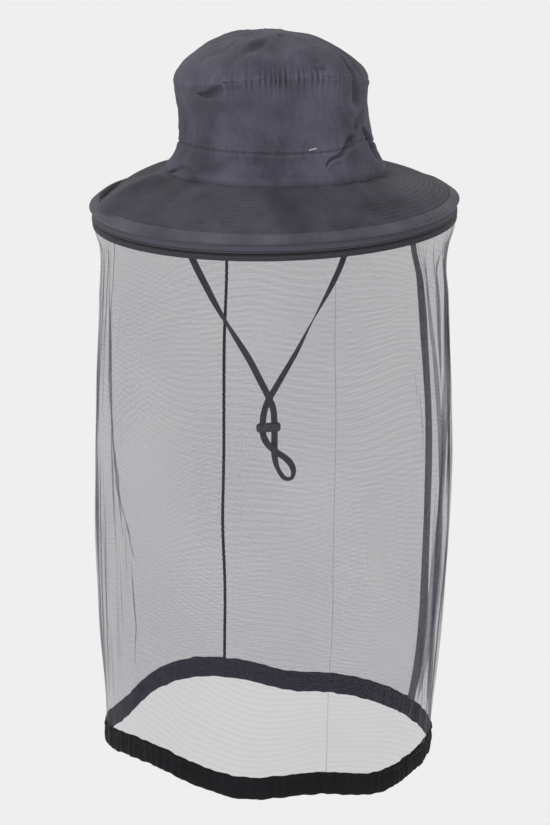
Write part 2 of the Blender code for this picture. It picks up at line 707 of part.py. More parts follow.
def hang_on_axis(name, place, axis, pieces):
    """Parents pieces that move together to an empty on their joint's axis, with its Z along the axis."""
    pivot = bpy.data.objects.new(name, None)
    bpy.context.scene.collection.objects.link(pivot)
    turn = axis.to_track_quat("Z", "Y").to_matrix().to_4x4()
    pivot.matrix_world = Matrix.Translation(place) @ turn
    for piece in pieces:
        held = bpy.data.objects[piece]
        held.parent = pivot
        held.matrix_parent_inverse = pivot.matrix_world.inverted()


def add_joint_axes():
    ring_axis = ring_frame().to_3x3() @ Vector((0, 0, 1))
    swing = Vector((0, STRAP_Y, SWING_AXIS_Z))
    straps = ["chin_strap_left", "chin_strap_right", "chin_strap_loop"]
    anchors = ["strap_anchor_left", "strap_anchor_right"]
    zip_half = ["zip_lower_tape", "zip_lower_coil", "zip_start_box", "veil_top_binding"]
    net = ["net_panel_left", "net_panel_right_rear", "net_panel_right_front"]
    seams = ["net_back_seam", "net_side_seam_tape", "net_front_seam"]
    hem = ["hem_casing", "hem_elastic", "hem_join_tab"]
    hang_on_axis("zip_slider_axis", RING_CENTRE, ring_axis, ["zip_slider"])
    hang_on_axis("zip_pull_axis", pull_pivot().to_translation(), ring_axis, ["zip_pull"])
    hang_on_axis("veil_axis", RING_CENTRE, ring_axis, zip_half + net + seams + hem)
    hang_on_axis("chin_strap_axis", swing, Vector((1, 0, 0)), straps + anchors)
    hang_on_axis("toggle_axis", TOGGLE_CENTRE, Vector((0, 0, 1)), ["toggle"])


# ---------------------------------------------------------------- assembly


def main():
    for old in list(bpy.data.objects):
        bpy.data.objects.remove(old, do_unlink=True)
    finishes = make_finishes()
    build_crown(finishes)
    add_brim_layers(finishes)
    add_brim_binding(finishes["brim_fabric"])
    build_zip(finishes)
    build_veil(finishes)
    build_chin_strap(finishes)
    add_joint_axes()


main()
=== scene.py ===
"""Looks of the veil hat: quilted cloth, tulle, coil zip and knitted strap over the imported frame.

Metres, +Z up. Distances over a cloth are in metres too: angles run round the hat, heights up the
crown, and shares from the crown (0) to the brim's edge (1). The tables of creases, folds and dips
are in degrees and millimetres.
"""

import json
from math import cos, pi, radians, sin, sqrt

import bmesh
import bpy
import numpy as np
from mathutils import Euler, Matrix, Vector


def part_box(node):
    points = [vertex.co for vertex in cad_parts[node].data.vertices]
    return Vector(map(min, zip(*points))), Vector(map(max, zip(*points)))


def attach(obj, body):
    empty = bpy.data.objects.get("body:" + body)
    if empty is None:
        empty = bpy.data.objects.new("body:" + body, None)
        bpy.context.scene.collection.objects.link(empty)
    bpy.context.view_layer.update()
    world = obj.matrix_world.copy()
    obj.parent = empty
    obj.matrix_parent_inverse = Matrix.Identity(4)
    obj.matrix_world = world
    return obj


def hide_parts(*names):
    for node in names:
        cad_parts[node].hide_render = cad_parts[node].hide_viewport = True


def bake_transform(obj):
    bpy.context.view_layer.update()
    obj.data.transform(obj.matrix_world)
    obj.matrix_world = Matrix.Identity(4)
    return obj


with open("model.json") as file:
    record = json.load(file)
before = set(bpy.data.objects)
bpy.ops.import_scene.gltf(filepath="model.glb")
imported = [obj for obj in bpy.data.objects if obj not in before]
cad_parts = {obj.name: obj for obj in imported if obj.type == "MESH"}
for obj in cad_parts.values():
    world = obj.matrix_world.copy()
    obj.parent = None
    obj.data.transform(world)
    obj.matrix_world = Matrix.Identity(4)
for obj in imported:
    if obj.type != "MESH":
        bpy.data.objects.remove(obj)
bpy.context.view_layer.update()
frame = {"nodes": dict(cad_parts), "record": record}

MM = 0.001

# Crown, as in the frame: half widths across (X) and front to back (Y) at each height
BASE_X, BASE_Y = 0.093, 0.104
BAND_TOP = 0.028
RIM_X, RIM_Y, RIM_HEIGHT, RIM_DROOP = 0.085, 0.0975, 0.085, 0.006
APEX_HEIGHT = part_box("crown_tip")[1][2]
CROWN_HEIGHTS = (0.0, 0.007, 0.016, BAND_TOP, 0.046, 0.064, RIM_HEIGHT)
CROWN_X = (BASE_X, 0.0895, 0.0845, 0.0825, 0.0815, 0.0828, RIM_X)
CROWN_Y = (BASE_Y, 0.101, 0.097, 0.0955, 0.0945, 0.0957, RIM_Y)
SIDE_SEAMS = (radians(-55), radians(125))
FABRIC = 0.0009
SEAM_LAP = 0.0003  # how far two sewn cloths run into each other at their seam
BESIDE_SEAM = 0.0032  # from a seam of the crown to its topstitching

# Brim and zip, as in the frame
RING_RADIUS = 0.159
BRIM_BULGE_FRONT, BRIM_BULGE_BACK = 0.002, 0.008
BRIM_FACE, FILLER_FACE = 0.0016, 0.0004  # above the brim's middle surface, and below it for the lower cloth
BINDING_FROM, BINDING_FACE, BINDING_OVERHANG = 0.88, 0.0026, 0.012
QUILT_BANDS = 13  # puffed bands, with a row of stitching between each two
TAPE_RADIUS = RING_RADIUS - 0.0011
UPPER_TAPE, UPPER_COIL = (-0.0071, -0.0029), (-0.0084, -0.0074)
LOWER_COIL, LOWER_TAPE = (-0.0106, -0.0096), (-0.0152, -0.0109)
ZIP_STARTS, ZIP_ENDS = radians(119.2), radians(476.8)
TOOTH_PITCH = 0.0016

# Veil, as in the frame
NET_TOP_RADIUS, NET_TOP = 0.1569, -0.0121
NET_HEIGHTS = (-0.062, -0.11, -0.19, -0.3, -0.4, -0.49, -0.498)
NET_RADII = (0.1515, 0.1515, 0.1545, 0.1548, 0.1516, 0.1473, 0.1473)
DRIFT_STARTS = -0.03
NET_DRIFT = (-0.0062, 0.0019)
HEM_BOTTOM, HEM_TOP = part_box("hem_casing")[0][2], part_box("hem_casing")[1][2]
HEM_RADIUS = 0.1475
BACK_SEAM_AT, SIDE_SEAM_AT, FRONT_SEAM_AT = radians(90), radians(12), radians(-87)

# Chin strap, as in the frame
STRAP_WIDTH, STRAP_THICKNESS, STRAP_Y = 0.006, 0.0012, 0.02
LEFT_ROUTE = (
    (-0.0845, 0.02, -0.0033), (-0.0838, 0.02, -0.025), (-0.0788, 0.0199, -0.052),
    (-0.0692, 0.0197, -0.0764), (-0.0576, 0.0194, -0.1006), (-0.0449, 0.0192, -0.1249),
    (-0.0302, 0.019, -0.1493), (-0.0181, 0.0189, -0.1693), (-0.0079, 0.0188, -0.1894),
    (-0.0006, 0.0188, -0.2039), (0.0042, 0.0194, -0.216), (0.0056, 0.02, -0.2302),
)
RIGHT_ROUTE = (
    (0.0845, 0.02, -0.0033), (0.0838, 0.02, -0.025), (0.08, 0.02, -0.048),
    (0.0749, 0.0201, -0.0657), (0.0686, 0.0202, -0.0865), (0.06, 0.0204, -0.1052),
    (0.0478, 0.0206, -0.127), (0.0377, 0.0208, -0.1448), (0.0275, 0.021, -0.1639),
    (0.0154, 0.0212, -0.1839), (0.0052, 0.0212, -0.2003), (-0.0006, 0.0212, -0.21),
    (-0.0043, 0.0206, -0.2207), (-0.0056, 0.02, -0.2302),
)
LOOP_ROUTE = (
    (-0.0056, 0.02, -0.2358), (-0.0046, 0.0197, -0.241), (-0.0018, 0.019, -0.247),
    (0.0025, 0.0182, -0.2522), (0.0085, 0.018, -0.257), (0.0155, 0.0185, -0.2622),
    (0.0213, 0.0192, -0.269), (0.0236, 0.02, -0.2765), (0.0216, 0.0206, -0.2822),
    (0.0166, 0.0212, -0.2822), (0.0117, 0.0217, -0.2768), (0.0082, 0.022, -0.2695),
    (0.0064, 0.022, -0.261), (0.006, 0.0216, -0.252), (0.0058, 0.0206, -0.243),
    (0.0056, 0.02, -0.2358),
)
LEFT_TWIST = (60, 15, 0, 25, 70, 25, 0, 0)
RIGHT_TWIST = (-60, -15, -5, -20, -68, -28, -5, 0)
LOOP_TWIST = (0, 25, 10, -35, -60, -25, 0)
ANCHOR_X = (0.0845, 0.0826, 0.0795)  # bottom, middle and top of each tab


# -------- camera, floor and light


def add_object(name, data):
    added = bpy.data.objects.new(name, data)
    bpy.context.scene.collection.objects.link(added)
    return added


def add_camera():
    azimuth, pitch, distance, height = radians(-17), radians(13.64), 2.1, 0.295
    lens = bpy.data.cameras.new("camera")
    lens.lens = 106.3
    camera = add_object("camera", lens)
    camera.location = (distance * sin(azimuth), -distance * cos(azimuth), height)
    camera.rotation_euler = Euler((pi / 2 - pitch, 0, azimuth))
    bpy.context.scene.camera = camera


def add_sun(name, azimuth, elevation, strength, softness):
    light = bpy.data.lights.new(name, "SUN")
    light.energy = strength
    light.angle = radians(softness)
    sun = add_object(name, light)
    sun.rotation_euler = Euler((radians(90 - elevation), 0, radians(azimuth)))


def add_studio():
    """A wide pale floor well under the hat, an even sky and three soft lights."""
    bpy.context.scene.view_settings.view_transform = "Standard"
    world = bpy.data.worlds.new("studio")
    world.use_nodes = True
    sky = world.node_tree.nodes["Background"]
    sky.inputs["Color"].default_value = (1, 1, 1, 1)
    sky.inputs["Strength"].default_value = 0.6
    bpy.context.scene.world = world
    add_sun("key", -58, 24, 1.7, 24)
    add_sun("fill", 30, 14, 0.7, 60)
    add_sun("rim", 165, 35, 0.3, 40)
    shape = bmesh.new()
    bmesh.ops.create_grid(shape, x_segments=1, y_segments=1, size=90)
    mesh = bpy.data.meshes.new("floor")
    shape.to_mesh(mesh)
    shape.free()
    mesh.materials.append(Finish("floor", (0.92, 0.92, 0.92), 1.0).material)
    floor = add_object("floor", mesh)
    floor.location.z = -1.6


# -------- materials


class Finish:
    """A material with short calls for the nodes that it needs."""

    def __init__(self, name, colour, roughness, **sockets):
        self.material = bpy.data.materials.new(name)
        self.material.use_nodes = True
        self.tree = self.material.node_tree
        self.surface = self.tree.nodes["Principled BSDF"]
        self.surface.inputs["Base Color"].default_value = (*colour, 1)
        self.surface.inputs["Roughness"].default_value = roughness
        for socket, value in sockets.items():
            self.surface.inputs[socket.replace("_", " ")].default_value = value

    def add(self, kind, inputs, output=0, **settings):
        node = self.tree.nodes.new("ShaderNode" + kind)
        for key, value in settings.items():
            setattr(node, key, value)
        for socket, value in inputs.items():
            if isinstance(value, bpy.types.NodeSocket):
                self.tree.links.new(value, node.inputs[socket])
            else:
                node.inputs[socket].default_value = value
        return node.outputs[output]

    def math(self, operation, first, second=0.0):
        return self.add("Math", {0: first, 1: second}, operation=operation)

    def weighed(self, start, *terms):
        """start plus each term's output times its weight."""
        total = start
        for output, weight in terms:
            total = self.math("ADD", self.math("MULTIPLY", output, weight), total)
        return total

    def along(self, axis):
        """Metres along the cloth, across ("X") or down ("Y")."""
        place = self.add("TexCoord", {}, "UV")
        return self.add("SeparateXYZ", {0: place}, axis)

    def threads(self, axis, pitch):
        return self.math("SINE", self.math("MULTIPLY", self.along(axis), 2 * pi / pitch))

    def weave(self, across, along):
        """Squares between threads both ways, at a pitch each way."""
        return self.math("MULTIPLY", self.threads("X", across), self.threads("Y", along))

    def noise(self, scale, detail=3.0, stretch=(1, 1, 1), source="Object"):
        """Cloudy noise from -0.5 to 0.5, drawn out along one axis by stretch."""
        place = self.add("Mapping", {"Vector": self.add("TexCoord", {}, source), "Scale": stretch})
        cloud = self.add("TexNoise", {"Vector": place, "Scale": scale, "Detail": detail})
        return self.math("SUBTRACT", cloud, 0.5)

    def wear_and_crease_shade(self):
        """Above zero on ridges and below it in creases. In a colour it paints highlights on ridges and shade
        in creases; on the enamel its ridges mark worn edges.
        """
        return self.math("SUBTRACT", self.add("NewGeometry", {}, "Pointiness"), 0.5)

    def colour(self, dark, light, share):
        mixed = self.add("Mix", {0: share, 6: (*dark, 1), 7: (*light, 1)}, 2, data_type="RGBA")
        self.tree.links.new(mixed, self.surface.inputs["Base Color"])

    def drive(self, socket, value):
        self.tree.links.new(value, self.surface.inputs[socket])

    def bump(self, height, distance, strength=0.6):
        relief = self.add("Bump", {"Height": height, "Distance": distance, "Strength": strength})
        self.tree.links.new(relief, self.surface.inputs["Normal"])


def woven(name, dark, light, pitch, roughness, sheen):
    """Plain-woven cloth: threads both ways, uneven yarn, soft clouding that is partly uneven tone and partly
    painted sheen and crease shade, and painted highlights on ridges with painted shade in creases.
    """
    cloth = Finish(name, dark, roughness, Sheen_Weight=sheen, Sheen_Roughness=0.45, Specular_IOR_Level=0.2)
    weave = cloth.weave(pitch, pitch)
    yarn = cloth.noise(1.0, 2, (90, 2600, 1), "UV")
    slub = cloth.noise(1.0, 2, (2600, 110, 1), "UV")
    # cloud and the mottle paint patches of sheen and crease shade as well as uneven tone
    cloud, sheen_and_shade_mottle = cloth.noise(38, 4), cloth.noise(13, 3)
    threads = ((weave, 0.12), (yarn, 0.6), (slub, 0.4))
    # the pointiness term paints highlights on ridges and shade in creases
    tone = cloth.weighed(0.5, *threads, (cloud, 1.6), (sheen_and_shade_mottle, 1.6), (cloth.wear_and_crease_shade(), 4.0))
    cloth.colour(dark, light, tone)
    cloth.drive("Roughness", cloth.weighed(roughness, (cloud, 0.25), (weave, 0.03)))
    cloth.bump(cloth.weighed(0.5, (weave, 0.3), (yarn, 0.5), (slub, 0.4)), 0.00022)
    return cloth.material


def ribbed(name, dark, light, pitch, rib, sheen):
    """Narrow tape or elastic: fine threads across and ribs along its length."""
    tape = Finish(name, dark, 0.8, Sheen_Weight=sheen, Sheen_Roughness=0.4)
    across, along = tape.threads("Y", rib), tape.threads("X", pitch)
    knit = tape.math("MULTIPLY", across, along)
    yarn = tape.noise(1400, 2)
    # the pointiness term paints highlights on ridges and shade in creases
    tone = tape.weighed(0.45, (across, 0.1), (along, 0.16), (knit, 0.12), (yarn, 0.6), (tape.wear_and_crease_shade(), 2.0))
    tape.colour(dark, light, tone)
    tape.drive("Roughness", tape.weighed(0.8, (yarn, 0.3)))
    tape.bump(tape.weighed(0.5, (across, 0.3), (knit, 0.3), (yarn, 0.2)), 0.00025)
    return tape.material


def tulle():
    """Fine net, seen as a share of cover: two sizes of cell, uneven tension and a faint moire."""
    net = Finish("tulle", (0.03, 0.03, 0.036), 0.55, Sheen_Weight=0.2, Sheen_Roughness=0.4)
    cells, mesh = net.weave(0.0026, 0.0021), net.weave(0.0011, 0.0009)
    tension, drift = net.noise(9, 3), net.noise(6, 0)
    fibre = net.noise(1.0, 2, (600, 900, 1), "UV")
    bands = net.weighed(0.0, (net.along("Y"), 2 * pi / 0.0046), (net.along("X"), 2 * pi / 0.03), (drift, 150))
    moire = net.math("SINE", bands)
    cover = net.weighed(0.322, (cells, 0.06), (mesh, 0.16), (tension, 0.1), (fibre, 0.16), (moire, 0.024))
    net.drive("Alpha", net.add("Clamp", {"Value": cover}))
    net.colour((0.022, 0.022, 0.04), (0.06, 0.06, 0.1), net.weighed(0.5, (fibre, 1.2), (cells, 0.2)))
    net.drive("Roughness", net.weighed(0.55, (fibre, 0.4)))
    net.bump(net.weighed(0.5, (cells, 0.4), (mesh, 0.3)), 0.0002, 0.4)
    return net.material


def seam_net():
    """A half-clear tape of doubled net that binds a seam."""
    net = Finish("seam_net", (0.02, 0.02, 0.024), 0.6, Sheen_Weight=0.2)
    cells = net.weave(0.0013, 0.0013)
    fibre = net.noise(1.0, 2, (500, 150, 1), "UV")
    net.drive("Alpha", net.add("Clamp", {"Value": net.weighed(0.74, (cells, 0.15), (fibre, 0.5))}))
    net.colour((0.012, 0.012, 0.015), (0.05, 0.05, 0.058), net.weighed(0.4, (fibre, 1.0)))
    return net.material


def moulded(name, dark, light, roughness, grain):
    """Dull moulded plastic with a fine grain, its edges painted lighter and painted shade in its hollows."""
    plastic = Finish(name, dark, roughness, Coat_Weight=0.06, Coat_Roughness=0.4)
    fine, cloud = plastic.noise(2600, 3), plastic.noise(160, 2)
    # the pointiness term paints the edges lighter and shade into the hollows
    plastic.colour(dark, light, plastic.weighed(0.35, (cloud, 0.8), (fine, 0.5), (plastic.wear_and_crease_shade(), 4.0)))
    plastic.drive("Roughness", plastic.weighed(roughness, (cloud, 0.2), (fine, 0.1)))
    plastic.bump(fine, grain)
    return plastic.material


def enamel():
    """Satin dark enamel on metal, thin on the edges."""
    metal = Finish("dark_enamel", (0.06, 0.06, 0.066), 0.38, Coat_Weight=0.2, Coat_Roughness=0.3)
    scratch = metal.noise(1.0, 3, (300, 5200, 5200))
    edge = metal.math("GREATER_THAN", metal.wear_and_crease_shade(), 0.07)
    tone = metal.weighed(0.2, (scratch, 0.8), (edge, 0.7))
    metal.colour((0.035, 0.035, 0.04), (0.2, 0.2, 0.21), tone)
    metal.drive("Metallic", metal.weighed(0.35, (edge, 0.6)))
    metal.drive("Roughness", metal.weighed(0.38, (scratch, 0.4)))
    metal.bump(scratch, 0.00003)
    return metal.material


FINISHES = {
    "crown": woven("crown_cloth", (0.038, 0.037, 0.052), (0.092, 0.09, 0.12), 0.0009, 0.85, 0.06),
    "brim": woven("brim_cloth", (0.027, 0.027, 0.037), (0.07, 0.068, 0.088), 0.0009, 0.8, 0.06),
    "lining": woven("lining_cloth", (0.024, 0.024, 0.028), (0.046, 0.046, 0.053), 0.0007, 0.85, 0.15),
    "binding": woven("binding_cloth", (0.05, 0.05, 0.064), (0.1, 0.098, 0.12), 0.0009, 0.8, 0.1),
    "hem": woven("hem_cloth", (0.003, 0.003, 0.004), (0.008, 0.008, 0.01), 0.0008, 0.9, 0.02),
    "label": woven("label_cloth", (0.2, 0.2, 0.22), (0.4, 0.4, 0.43), 0.0005, 0.8, 0.05),
    "thread": ribbed("thread", (0.04, 0.04, 0.052), (0.1, 0.1, 0.12), 0.0006, 0.0004, 0.05),
    "dark_thread": ribbed("dark_thread", (0.008, 0.008, 0.01), (0.035, 0.035, 0.04), 0.0006, 0.0004, 0.2),
    "zip_tape": ribbed("zip_tape_cloth", (0.027, 0.026, 0.039), (0.072, 0.07, 0.096), 0.0016, 0.0008, 0.05),
    "veil_tape": ribbed("veil_tape_cloth", (0.009, 0.009, 0.014), (0.028, 0.028, 0.04), 0.0016, 0.0008, 0.05),
    "strap": ribbed("strap_knit", (0.009, 0.009, 0.01), (0.024, 0.024, 0.026), 0.0012, 0.001, 0.05),
    "elastic": ribbed("elastic_knit", (0.012, 0.012, 0.014), (0.04, 0.04, 0.045), 0.002, 0.0012, 0.1),
    "zip_plastic": moulded("zip_plastic", (0.02, 0.02, 0.026), (0.07, 0.07, 0.08), 0.42, 0.00003),
    "toggle": moulded("toggle_plastic", (0.01, 0.01, 0.011), (0.034, 0.034, 0.036), 0.48, 0.00006),
    "metal": enamel(),
    "net": tulle(),
    "seam_net": seam_net(),
}


# -------- mesh tools


def add_mesh(name, points, faces, uv, finish, body=None):
    """A smooth-shaded piece that rides on a body. uv is in metres, one pair for each point."""
    mesh = bpy.data.meshes.new(name)
    mesh.from_pydata(points.reshape(-1, 3).tolist(), [], faces.tolist())
    corners = np.zeros(len(mesh.loops), int)
    mesh.loops.foreach_get("vertex_index", corners)
    layer = mesh.uv_layers.new(name="metres")
    layer.data.foreach_set("uv", uv.reshape(-1, 2)[corners].ravel())
    mesh.shade_smooth()
    mesh.set_sharp_from_angle(angle=radians(60))
    mesh.materials.append(FINISHES[finish])
    piece = add_object(name, mesh)
    if body:
        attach(piece, body)
    return piece


def stand_in(piece, node):
    """Hides the node of the frame whose place a piece takes."""
    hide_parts(node)


def grid_faces(rows, columns):
    at = np.arange(rows - 1)[:, None] * columns + np.arange(columns - 1)
    return np.stack([at, at + 1, at + columns + 1, at + columns], -1).reshape(-1, 4)


def unit(vectors):
    return vectors / np.maximum(np.linalg.norm(vectors, axis=-1, keepdims=True), 1e-12)


def square_to(points):
    """Unit normals of a grid of points."""
    return unit(np.cross(np.gradient(points, axis=1), np.gradient(points, axis=0)))


def measured(points):
    """Metres across and up a grid of points, for its weave."""
    across = np.linalg.norm(np.diff(points, axis=1), axis=-1).mean(0).cumsum()
    up = np.linalg.norm(np.diff(points, axis=0), axis=-1).mean(1).cumsum()
    return np.stack(np.meshgrid(np.append(0, across), np.append(0, up)), -1)


def rim_faces(rows, columns, ring):
    """Faces that join a grid's edges to those of its copy further in."""
    count = rows * columns
    i, j = np.arange(columns - 1), np.arange(rows - 1) * columns
    top, right = i + (rows - 1) * columns, j + columns - 1
    strips = [
        np.stack([i + 1, i, i + count, i + 1 + count], -1),
        np.stack([top, top + 1, top + 1 + count, top + count], -1),
    ]
    if not ring:
        strips.append(np.stack([j, j + columns, j + columns + count, j + count], -1))
        strips.append(np.stack([right + columns, right, right + count, right + columns + count], -1))
    return np.concatenate(strips)


def add_cloth(name, outer, thickness, finish, body, ring=False, uv=None):
    """A cloth with its outer face on a grid of points."""
    rows, columns = outer.shape[:2]
    inner = outer - square_to(outer) * thickness
    skin = grid_faces(rows, columns)
    faces = np.concatenate([skin, skin[:, ::-1] + rows * columns, rim_faces(rows, columns, ring)])
    uv = measured(outer) if uv is None else uv
    return add_mesh(name, np.stack([outer, inner]), faces, np.stack([uv, uv]), finish, body)


def add_skin(name, points, finish, body, uv=None):
    """A single surface on a grid of points, such as net or the outside of a tube."""
    uv = measured(points) if uv is None else uv
    return add_mesh(name, points, grid_faces(*points.shape[:2]), uv, finish, body)


def reach_along(line):
    """Metres along a line to each of its points."""
    return np.append(0, np.linalg.norm(np.diff(line, axis=0), axis=-1).cumsum())


def at_distance(values, reach, distance):
    return np.stack([np.interp(distance, reach, column) for column in values.T], -1)


def add_stitches(name, lines, finish, body, pitch=0.0032, width=0.00045):
    """Rows of short threads, each bulging between the two holes where it dives into the cloth."""
    points = []
    for line, normals in lines:
        reach = reach_along(line)
        starts = np.arange(0.3 * pitch, reach[-1] - pitch, pitch)
        first = at_distance(line, reach, starts)
        last = at_distance(line, reach, starts + 0.74 * pitch)
        up = at_distance(normals, reach, starts + 0.37 * pitch)
        middle = (first + last) / 2
        side = unit(np.cross(last - first, up)) * width / 2
        lift = up * width * 0.45
        points.append(np.stack([first, middle + side, middle + lift, middle - side, middle - lift, last], 1))
    points = np.concatenate(points)
    shape = np.array([(0, 1, 2), (0, 2, 3), (0, 3, 4), (0, 4, 1), (5, 2, 1), (5, 3, 2), (5, 4, 3), (5, 1, 4)])
    faces = (np.arange(len(points))[:, None, None] * 6 + shape).reshape(-1, 3)
    uv = np.tile([(0, 0), (0.5, 0.2), (0.5, 0), (0.5, 0.2), (0.5, 0), (1, 0)], (len(points), 1)) * pitch
    return add_mesh(name, points, faces, uv, finish, body)


def flow(at, knots, values):
    """A smooth curve through values at rising knots."""
    knots, values = np.asarray(knots, float), np.asarray(values, float)
    slopes = np.gradient(values, knots, axis=0)
    i = np.clip(np.searchsorted(knots, at) - 1, 0, len(knots) - 2)
    span = knots[i + 1] - knots[i]
    t = (at - knots[i]) / span
    span, t = (part.reshape(part.shape + (1,) * (values.ndim - 1)) for part in (span, t))
    start = (2 * t**3 - 3 * t**2 + 1) * values[i] + (t**3 - 2 * t**2 + t) * span * slopes[i]
    return start + (3 * t**2 - 2 * t**3) * values[i + 1] + (t**3 - t**2) * span * slopes[i + 1]


def eased(share):
    share = np.clip(share, 0, 1)
    return share * share * (3 - 2 * share)


def hump(distance, width):
    return np.exp(-((distance / width) ** 2))


def wander(angle, along, seed, waves, drift, count=5):
    """A random smooth wave, from about -1 to 1, that closes on itself round the hat."""
    random = np.random.default_rng(seed)
    total = 0
    for _ in range(count):
        turns = random.integers(waves[0], waves[1] + 1)
        slant = random.uniform(-drift, drift)
        total = total + np.sin(turns * angle + slant * along + random.uniform(0, 2 * pi))
    return total / sqrt(count)


def wanders(angle, along, *rows):
    """The sum of some wanders, each given as its size and then its own seed and settings."""
    return sum(size * wander(angle, along, *settings) for size, *settings in rows)


def ring_grid(columns, rows, start=0.0, end=2 * pi):
    """Angles round and row places from 0 to 1, as two grids."""
    return np.meshgrid(np.linspace(start, end, columns), np.linspace(0, 1, rows))


# -------- shapes of the frame


def oval(half_x, half_y, angle, height):
    return np.stack(np.broadcast_arrays(half_x * np.cos(angle), half_y * np.sin(angle), height), -1)


def ring_frame():
    """The brim's edge circle, from the slider's joint: its centre and the turn to its plane."""
    joints = frame["record"]["behaviour"]["joints"]
    joint = next(joint for joint in joints if joint["name"] == "zip_slider_travel")
    turn = Vector((0, 0, 1)).rotation_difference(Vector(joint["axis"]))
    return np.array(joint["pos_m"]), np.array(turn.to_matrix())


RING_CENTRE, RING_TURN = ring_frame()


def on_ring(radius, angle, height=0.0):
    return oval(radius, radius, angle, height) @ RING_TURN.T + RING_CENTRE


def rim_drop(angle):
    return -RIM_DROOP * np.cos(2 * angle)


def brim_middle(angle, share):
    inner = oval(BASE_X, BASE_Y, angle, 0.0)
    point = inner + (on_ring(RING_RADIUS, angle) - inner) * share[..., None]
    back = 0.5 + 0.5 * np.sin(angle)
    bulge = BRIM_BULGE_FRONT + (BRIM_BULGE_BACK - BRIM_BULGE_FRONT) * back
    point[..., 2] += 4 * bulge * share * (1 - share)
    return point


def brim_point(angle, share, offset):
    """A point above the brim's middle surface, square to it."""
    step = 0.01
    out = brim_middle(angle, share + step) - brim_middle(angle, share - step)
    around = brim_middle(angle + step, share) - brim_middle(angle - step, share)
    up = unit(np.cross(out, around))
    return brim_middle(angle, share) + up * np.asarray(offset)[..., None]


# -------- crown


def turned(angle, about):
    """The angle from a direction, within half a turn either way."""
    return (angle - about + pi) % (2 * pi) - pi


def crease(angle, height, start, end, width, depth):
    """A pinched valley that opens from one place on the crown to another, with swollen cloth beside it."""
    run, rise = turned(radians(start[0]), radians(end[0])) * RIM_Y, (start[1] - end[1]) * MM
    x, y = turned(angle, radians(end[0])) * RIM_Y, height - end[1] * MM
    x = x + 0.0022 * wander(angle, height, 18, (9, 26), 180)
    y = y + 0.0018 * wander(angle, height, 19, (9, 26), 180)
    share = np.clip((x * run + y * rise) / (run * run + rise * rise), 0, 1)
    away = np.hypot(x - share * run, y - share * rise)
    open_end = width * MM * (0.45 + 0.75 * (1 - share))
    deep = depth * MM * (0.5 + 0.5 * (1 - share))
    return deep * (0.45 * hump(away, 2.4 * open_end) - hump(away, open_end))


CREASES = (  # from (degrees, height) to (degrees, height), width and depth; all but degrees in mm
    ((-155, 75.5), (-140, 80), 4.2, 8.5),
    ((-141, 84), (-119, 130), 7.5, 4.2),
    ((-164, 90), (-150, 125), 9, 2.6),
    ((-84, 95), (-74, 90), 2.8, 3.4),
    ((-104, 100), (-92, 150), 11, 3),
    ((-57, 115), (-49, 72), 5.2, 8),
    ((-44, 96), (-40, 70), 4, 4),
    ((-80, 17), (-60, 32), 3, 6.2),
    ((-47, 38), (-37, 20), 5.2, 8.5),
    ((-178, 5), (-160, 8), 3.4, 6.2),
    ((-152, 12), (-118, 18), 7, 2.6),
    ((-66, 60), (-58, 34), 6, 3),
    ((-40, 64), (-54, 44), 4, 3.6),
    ((-128, 62), (-105, 70), 12, 1.4),
    ((20, 30), (28, 48), 5, 3.6),
    ((70, 74), (92, 80), 4, 5.2),
    ((150, 20), (166, 30), 4, 4.4),
    ((110, 10), (140, 14), 5, 2.8),
    ((-20, 80), (-4, 108), 7, 4),
)
SWELLS = (  # degrees, height in mm, half sizes in degrees and mm, and how far it bulges in mm
    (-176, 12.5, 26, 8.5, 4.8), (-30, 14, 24, 10, 4.4), (-110, 13, 45, 10, 1.2),
    (-160, 100, 22, 16, 3), (-126, 98, 16, 14, 3.4), (-66, 104, 20, 15, 2.6),
    (20, 95, 30, 20, 2.4), (110, 100, 30, 20, 2.6), (60, 45, 40, 20, 1.6),
)
LEAN, NARROWING = (-0.004, 0.0013), 0.035  # how the soft top has slumped to one side and drawn in


def seam_relief(distance):
    """Cloth that dives into a seam, with a swollen fold beside its topstitching."""
    away = np.abs(distance)
    return 0.0002 * hump(away - 0.003, 0.0017) - 0.0009 * hump(away, 0.0006)


def crown_relief(angle, height):
    """How far the cloth stands out from the frame's even crown."""
    relief = 0.0008 * wander(angle, height, 11, (2, 7), 70) * eased(height / 0.03)
    relief += wanders(angle, height, (0.00028, 12, (12, 30), 260, 8), (0.00016, 13, (40, 75), 500, 8))
    for valley in CREASES:
        relief += crease(angle, height, *valley)
    for degrees, at, wide, tall, swell in SWELLS:
        beside = hump(turned(angle, radians(degrees)), radians(wide))
        relief += swell * MM * beside * hump(height - at * MM, tall * MM)
    relief += 1.5 * seam_relief(height - BAND_TOP) + 1.2 * seam_relief(height - RIM_HEIGHT)
    over_tip = eased((RIM_HEIGHT + 0.004 - height) / 0.004)
    for seam in SIDE_SEAMS:
        relief += seam_relief(turned(angle, seam) * RIM_Y) * over_tip
    gather = hump(turned(angle, radians(-100)), 0.75) + 0.35
    ticks = np.clip(wander(angle, height, 14, (85, 140), 60, 6), -1, 1)
    relief += 0.0011 * ticks * gather * np.exp(-np.abs(height - RIM_HEIGHT) / 0.006)
    relief += 0.00022 * wander(angle, height, 15, (60, 110), 60) * hump(height - BAND_TOP, 0.006)
    return relief


